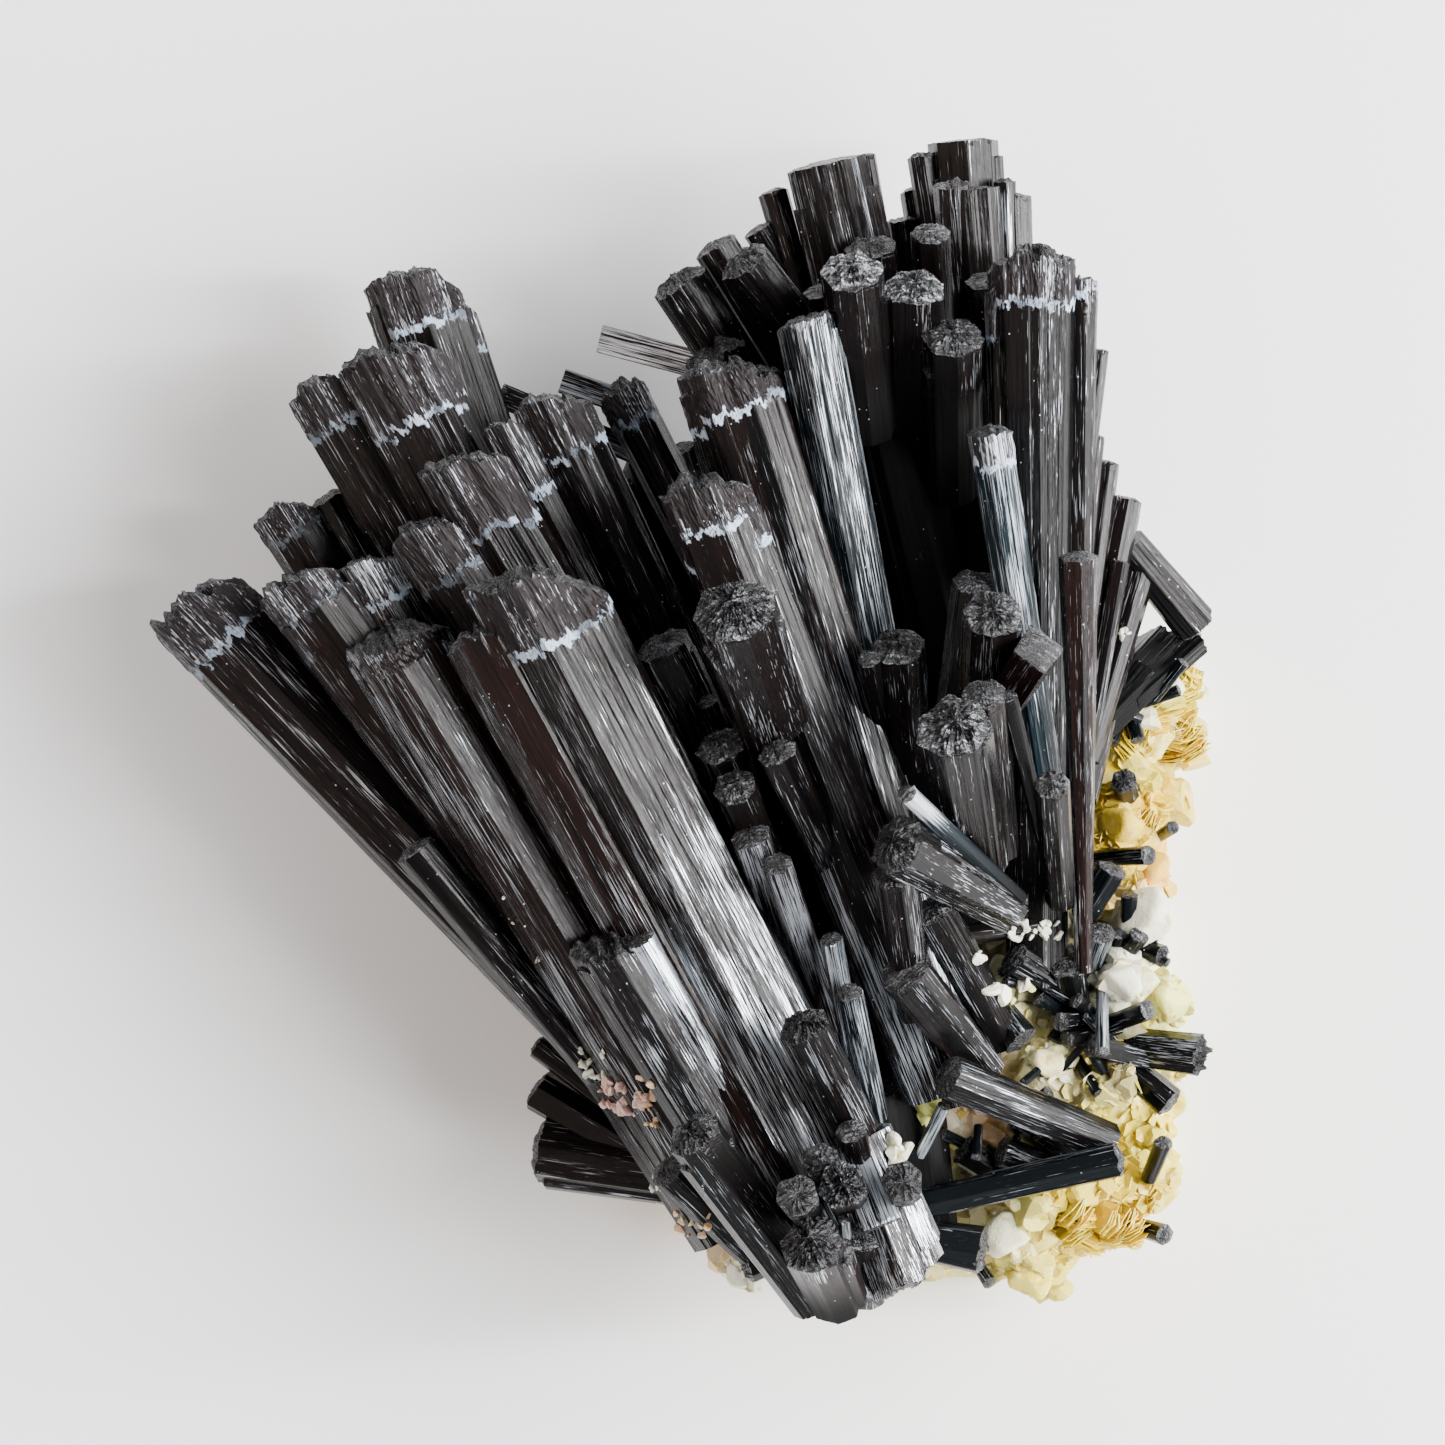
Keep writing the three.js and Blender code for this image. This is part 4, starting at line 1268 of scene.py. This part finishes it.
for place, normal in on_open_ground(4) + anywhere(body, GRAINS_ANYWHERE):
    size = min(dice.uniform(0.45, 1.6), 0.8 * place[2]) * dice.uniform(0.75, 1.2, 3)
    stain = stain_at(place) * dice.uniform(0.85, 1.1)
    kind = grain_kinds[dice.integers(5)]
    grains.add(kind, place - 0.35 * size.min() * normal, size, any_turn(), stain)
feldspar_grains = grains.piece("feldspar_grains", "feldspar", "matrix")

below_crumbs = (fan_front, fan_rear, columns, middle_stubs, foot_stubs, body)
for picture_x, picture_y, half_width, half_height, count, crumb_size, stain in CRUMBS:
    for _ in range(count):
        x, y = near(picture_x, picture_y, half_width, half_height)
        tops = [surface_below(piece, x, y)[0] for piece in below_crumbs]
        top = max((height for height in tops if height is not None), default=None)
        if top is None:
            continue
        size = crumb_size * dice.uniform(0.5, 1.2) * dice.uniform(0.7, 1.2, 3) * (1, 1, 0.6)
        place = np.array([x, y, top + 0.2 * size[2]])
        kind = grain_kinds[dice.integers(5)]
        crumbs.add(kind, place, size, any_turn(), stain * dice.uniform(0.85, 1.05))
feldspar_crumbs = crumbs.piece("feldspar_crumbs", "feldspar", "matrix")
for kind in grain_kinds + lump_kinds:
    bpy.data.objects.remove(kind)

# %% [markdown]
# ## Mica
# Mica splits into paper-thin sheets. Loose flakes lie all over the matrix, also on its sides, and groups of
# thick books stand at its right edge, on the ground beside it and at its lower right. A flake is a thin
# six-sided plate with a crinkle, and a book is a stack of such sheets that slip and turn a little against
# each other.

# %% Mica flakes and books
FLAKES_ANYWHERE = 700
# Books on the matrix beside the edge: their places in the picture.
INNER_BOOKS = (
    (1126, 744), (1142, 732), (1158, 722), (1172, 706), (1112, 778), (1130, 800), (1148, 826), (1164, 800),
)


def mica_leaf(seed):
    """A thin crinkled sheet of radius 1: the corners of a flat plate moved, each with the one under it."""
    shifts = np.random.default_rng(seed)
    deselect()
    bpy.ops.mesh.primitive_cylinder_add(
        vertices=6, radius=1, depth=0.08, end_fill_type="TRIFAN", location=(0, 0, 0)
    )
    leaf = bpy.context.object
    middle_shift, rim_shifts = shifts.uniform(-0.15, 0.15), shifts.uniform(-0.22, 0.22, 6)
    for corner in leaf.data.vertices:
        at_rim = math.hypot(corner.co.x, corner.co.y) > 0.5
        place_on_rim = round(math.atan2(corner.co.y, corner.co.x) / math.radians(60) + 0.5)
        corner.co.z += rim_shifts[place_on_rim % 6] if at_rim else middle_shift
    return leaf


def turn_towards(normal, spin):
    return Vector((0, 0, 1)).rotation_difference(Vector(normal)) @ Quaternion((0, 0, 1), spin)


def add_book(heap, middle, radius, lean, heading, sheets=8, thick=0.8):
    """A stack of sheets. Lean is in degrees from lying flat, and heading is the way that it leans."""
    lean, heading = math.radians(lean), math.radians(heading)
    outward = math.sin(lean)
    normal = np.array([-outward * math.sin(heading), outward * math.cos(heading), math.cos(lean)])
    for number in range(sheets):
        along = (number / (sheets - 1) - 0.5) * thick
        slip = dice.normal(size=3) * 0.06 * radius
        own_radius = radius * dice.uniform(0.82, 1.02)
        size = np.array([own_radius, own_radius * dice.uniform(0.9, 1), dice.uniform(0.5, 0.9)])
        tilt = normal + dice.normal(size=3) * 0.05
        place = middle + normal * along + slip
        stain = GOLD * dice.uniform(0.8, 1.15) if dice.random() < 0.6 else CREAM
        heap.add(leaves[number % 6], place, size, turn_towards(tilt, dice.uniform(-0.1, 0.1)), stain)


def book_row(heap, first, last, count, radius):
    """Books along a line, each leaning its own way."""
    for number in range(count):
        middle = first + (last - first) * number / (count - 1) + dice.uniform(-0.5, 0.5, 3)
        own_radius = radius * dice.uniform(0.7, 1.15)
        add_book(heap, middle, own_radius, dice.uniform(45, 88), dice.uniform(-60, 80))


leaves = [mica_leaf(seed) for seed in range(6)]
flakes, edge_books, foot_books = Heap(), Heap(), Heap()
for place, normal in on_open_ground(5) + anywhere(body, FLAKES_ANYWHERE):
    lean = np.array(normal) * 0.6 + dice.normal(size=3) * 0.6 + (0, 0, 0.25)
    radius = dice.uniform(0.25, 0.8)
    size = radius * np.array([1, dice.uniform(0.6, 1), 1])
    stain = stain_at(place) * 0.65 + 0.35 * (CREAM if dice.random() < 0.5 else GOLD)
    leaf = leaves[dice.integers(6)]
    flakes.add(leaf, place + (0, 0, 0.1), size, turn_towards(lean, dice.uniform(0, 6)), stain)
mica_flakes = flakes.piece("mica_flakes", "mica", "matrix")

book_row(edge_books, at(1192, 662, 7.5), at(1194, 748, 7), 9, 1.25)
book_row(edge_books, at(1180, 690, 5), at(1178, 756, 5), 4, 1.4)
for picture_x, picture_y in INNER_BOOKS:
    place = on_matrix(picture_x, picture_y, 0.3)
    add_book(edge_books, place, dice.uniform(0.9, 1.3), dice.uniform(45, 85), dice.uniform(-60, 80))
book_row(foot_books, at(1072, 1216, 11.8), at(1136, 1230, 10.8), 7, 1.25)
book_row(foot_books, at(1080, 1232, 9.5), at(1130, 1238, 9), 4, 1.4)
mica_edge = edge_books.piece("mica_edge_books", "mica", "golden_mica_edge")
mica_foot = foot_books.piece("mica_foot_books", "mica", "golden_mica_foot")
for leaf in leaves:
    bpy.data.objects.remove(leaf)

# %% [markdown]
# ## Feldspar and mica materials
# Both read the stain and painted shade that the corners keep. Feldspar is waxy and a little translucent, with
# finer stains over it, and painted shade that stands for hollows: darker honey in patches and fine dark specks.
# Mica is thinner and glossier, with a pearly coat.

# %% Pale materials
def place_in_mm(tree):
    return stretched(add_node(tree, "TexCoord").outputs["Object"], 1000)


def feldspar_material():
    material, tree, skin = new_material("Stained feldspar")
    place = place_in_mm(tree)
    mottle = noise(place, 1.3, 4, 0.6)
    grime = noise(place, 0.9, 3, 0.65)
    fine = noise(place, 7, 3, 0.7)
    colour = blend(times(ramp(mottle, 0.5, 0.75), 0.3), attribute(tree, "stain"), WHITE)
    # Painted shade: darker honey in patches, standing for hollows.
    colour = blend(times(ramp(grime, 0.52, 0.7), 0.6), colour, HONEY * 0.6)
    # Painted shade: fine dark specks.
    colour = blend(times(ramp(fine, 0.62, 0.75), 0.35), colour, SHADE)
    relief = bump(plus(fine, mottle), 0.6, 0.12)
    plug(skin, Base_Color=colour, Roughness=times_plus(fine, 0.5, 0.2), Normal=relief)
    plug(skin, Specular_IOR_Level=0.3, Subsurface_Weight=0.25)
    plug(skin, Subsurface_Radius=(1, 0.8, 0.5), Subsurface_Scale=0.7 * MM)
    return material


def mica_material():
    material, tree, skin = new_material("Golden mica")
    place = place_in_mm(tree)
    cloud = noise(place, 2.2, 3, 0.6)
    fine = noise(place, 9, 2, 0.6)
    colour = blend(ramp(cloud, 0.45, 0.68), attribute(tree, "stain"), CREAM)
    plug(skin, Base_Color=colour, Roughness=times_plus(fine, 0.35, 0.1), Normal=bump(fine, 0.4, 0.05))
    plug(skin, Coat_Weight=0.15, Coat_Roughness=0.12)
    return material


FELDSPAR = feldspar_material()
MICA = mica_material()
for material, pieces in (
    (FELDSPAR, (body, feldspar_lumps, feldspar_grains, feldspar_crumbs)),
    (MICA, (mica_flakes, mica_edge, mica_foot)),
):
    for piece in pieces:
        piece.data.materials.clear()
        piece.data.materials.append(material)
    print(material.name, "on", len(pieces), "pieces")

# %% [markdown]
# ## Floor, light and camera
# The cluster lies on a pale floor under a white dome. A long soft box on the right gives the silver streaks
# on the faces that turn that way, and the left side stays dim and warm. The camera looks straight down from
# far away.

# %% Studio
bpy.ops.mesh.primitive_plane_add(size=3, location=(0, 0, 0))
floor = bpy.context.object
floor.name = "floor"
floor_material, _, floor_skin = new_material("Pale floor")
plug(floor_skin, Base_Color=(0.93, 0.93, 0.93), Roughness=0.9)
floor.data.materials.append(floor_material)

world = bpy.data.worlds.new("studio")
bpy.context.scene.world = world
world.use_nodes = True
plug(world.node_tree.nodes["Background"], Color=(0.95, 0.97, 1), Strength=0.25)


def soft_box(name, azimuth, from_zenith, distance, width, height, power, colour=(1, 1, 1)):
    """An area light that looks at the middle. Azimuth 0 is +X and 90 is +Y. Sizes are in metres."""
    azimuth, from_zenith = math.radians(azimuth), math.radians(from_zenith)
    level = math.sin(from_zenith)
    out = Vector((level * math.cos(azimuth), level * math.sin(azimuth), math.cos(from_zenith)))
    lamp = bpy.data.lights.new(name, "AREA")
    lamp.shape = "RECTANGLE"
    lamp.size, lamp.size_y = width, height
    lamp.energy = power
    lamp.color = colour
    holder = add_object(name, lamp)
    holder.location = out * distance
    holder.rotation_euler = out.to_track_quat("Z", "Y").to_euler()


soft_box("key_softbox", 2, 54, 0.6, 0.75, 0.4, 17)
soft_box("key_strip", 4, 50, 0.55, 0.04, 0.5, 4)
soft_box("left_fill", 190, 46, 0.6, 0.6, 0.6, 1.9, (1, 0.78, 0.66))
soft_box("top_fill", 95, 66, 0.6, 0.7, 0.35, 2.2, (0.92, 0.96, 1))
soft_box("bottom_fill", 265, 66, 0.6, 0.7, 0.35, 1.4, (0.92, 0.96, 1))

SENSOR_WIDTH = 36
VIEW_WIDTH = 85
VIEW_MIDDLE = (1.61, 0.22)
CAMERA_DISTANCE = 900
HALF_DEPTH = 17
camera_data = bpy.data.cameras.new("camera")
camera_data.sensor_width = SENSOR_WIDTH
camera_data.lens = SENSOR_WIDTH * CAMERA_DISTANCE / VIEW_WIDTH
camera_data.clip_end = 20
camera = add_object("camera", camera_data)
camera.location = Vector((*VIEW_MIDDLE, CAMERA_DISTANCE + HALF_DEPTH)) * MM
bpy.context.scene.camera = camera
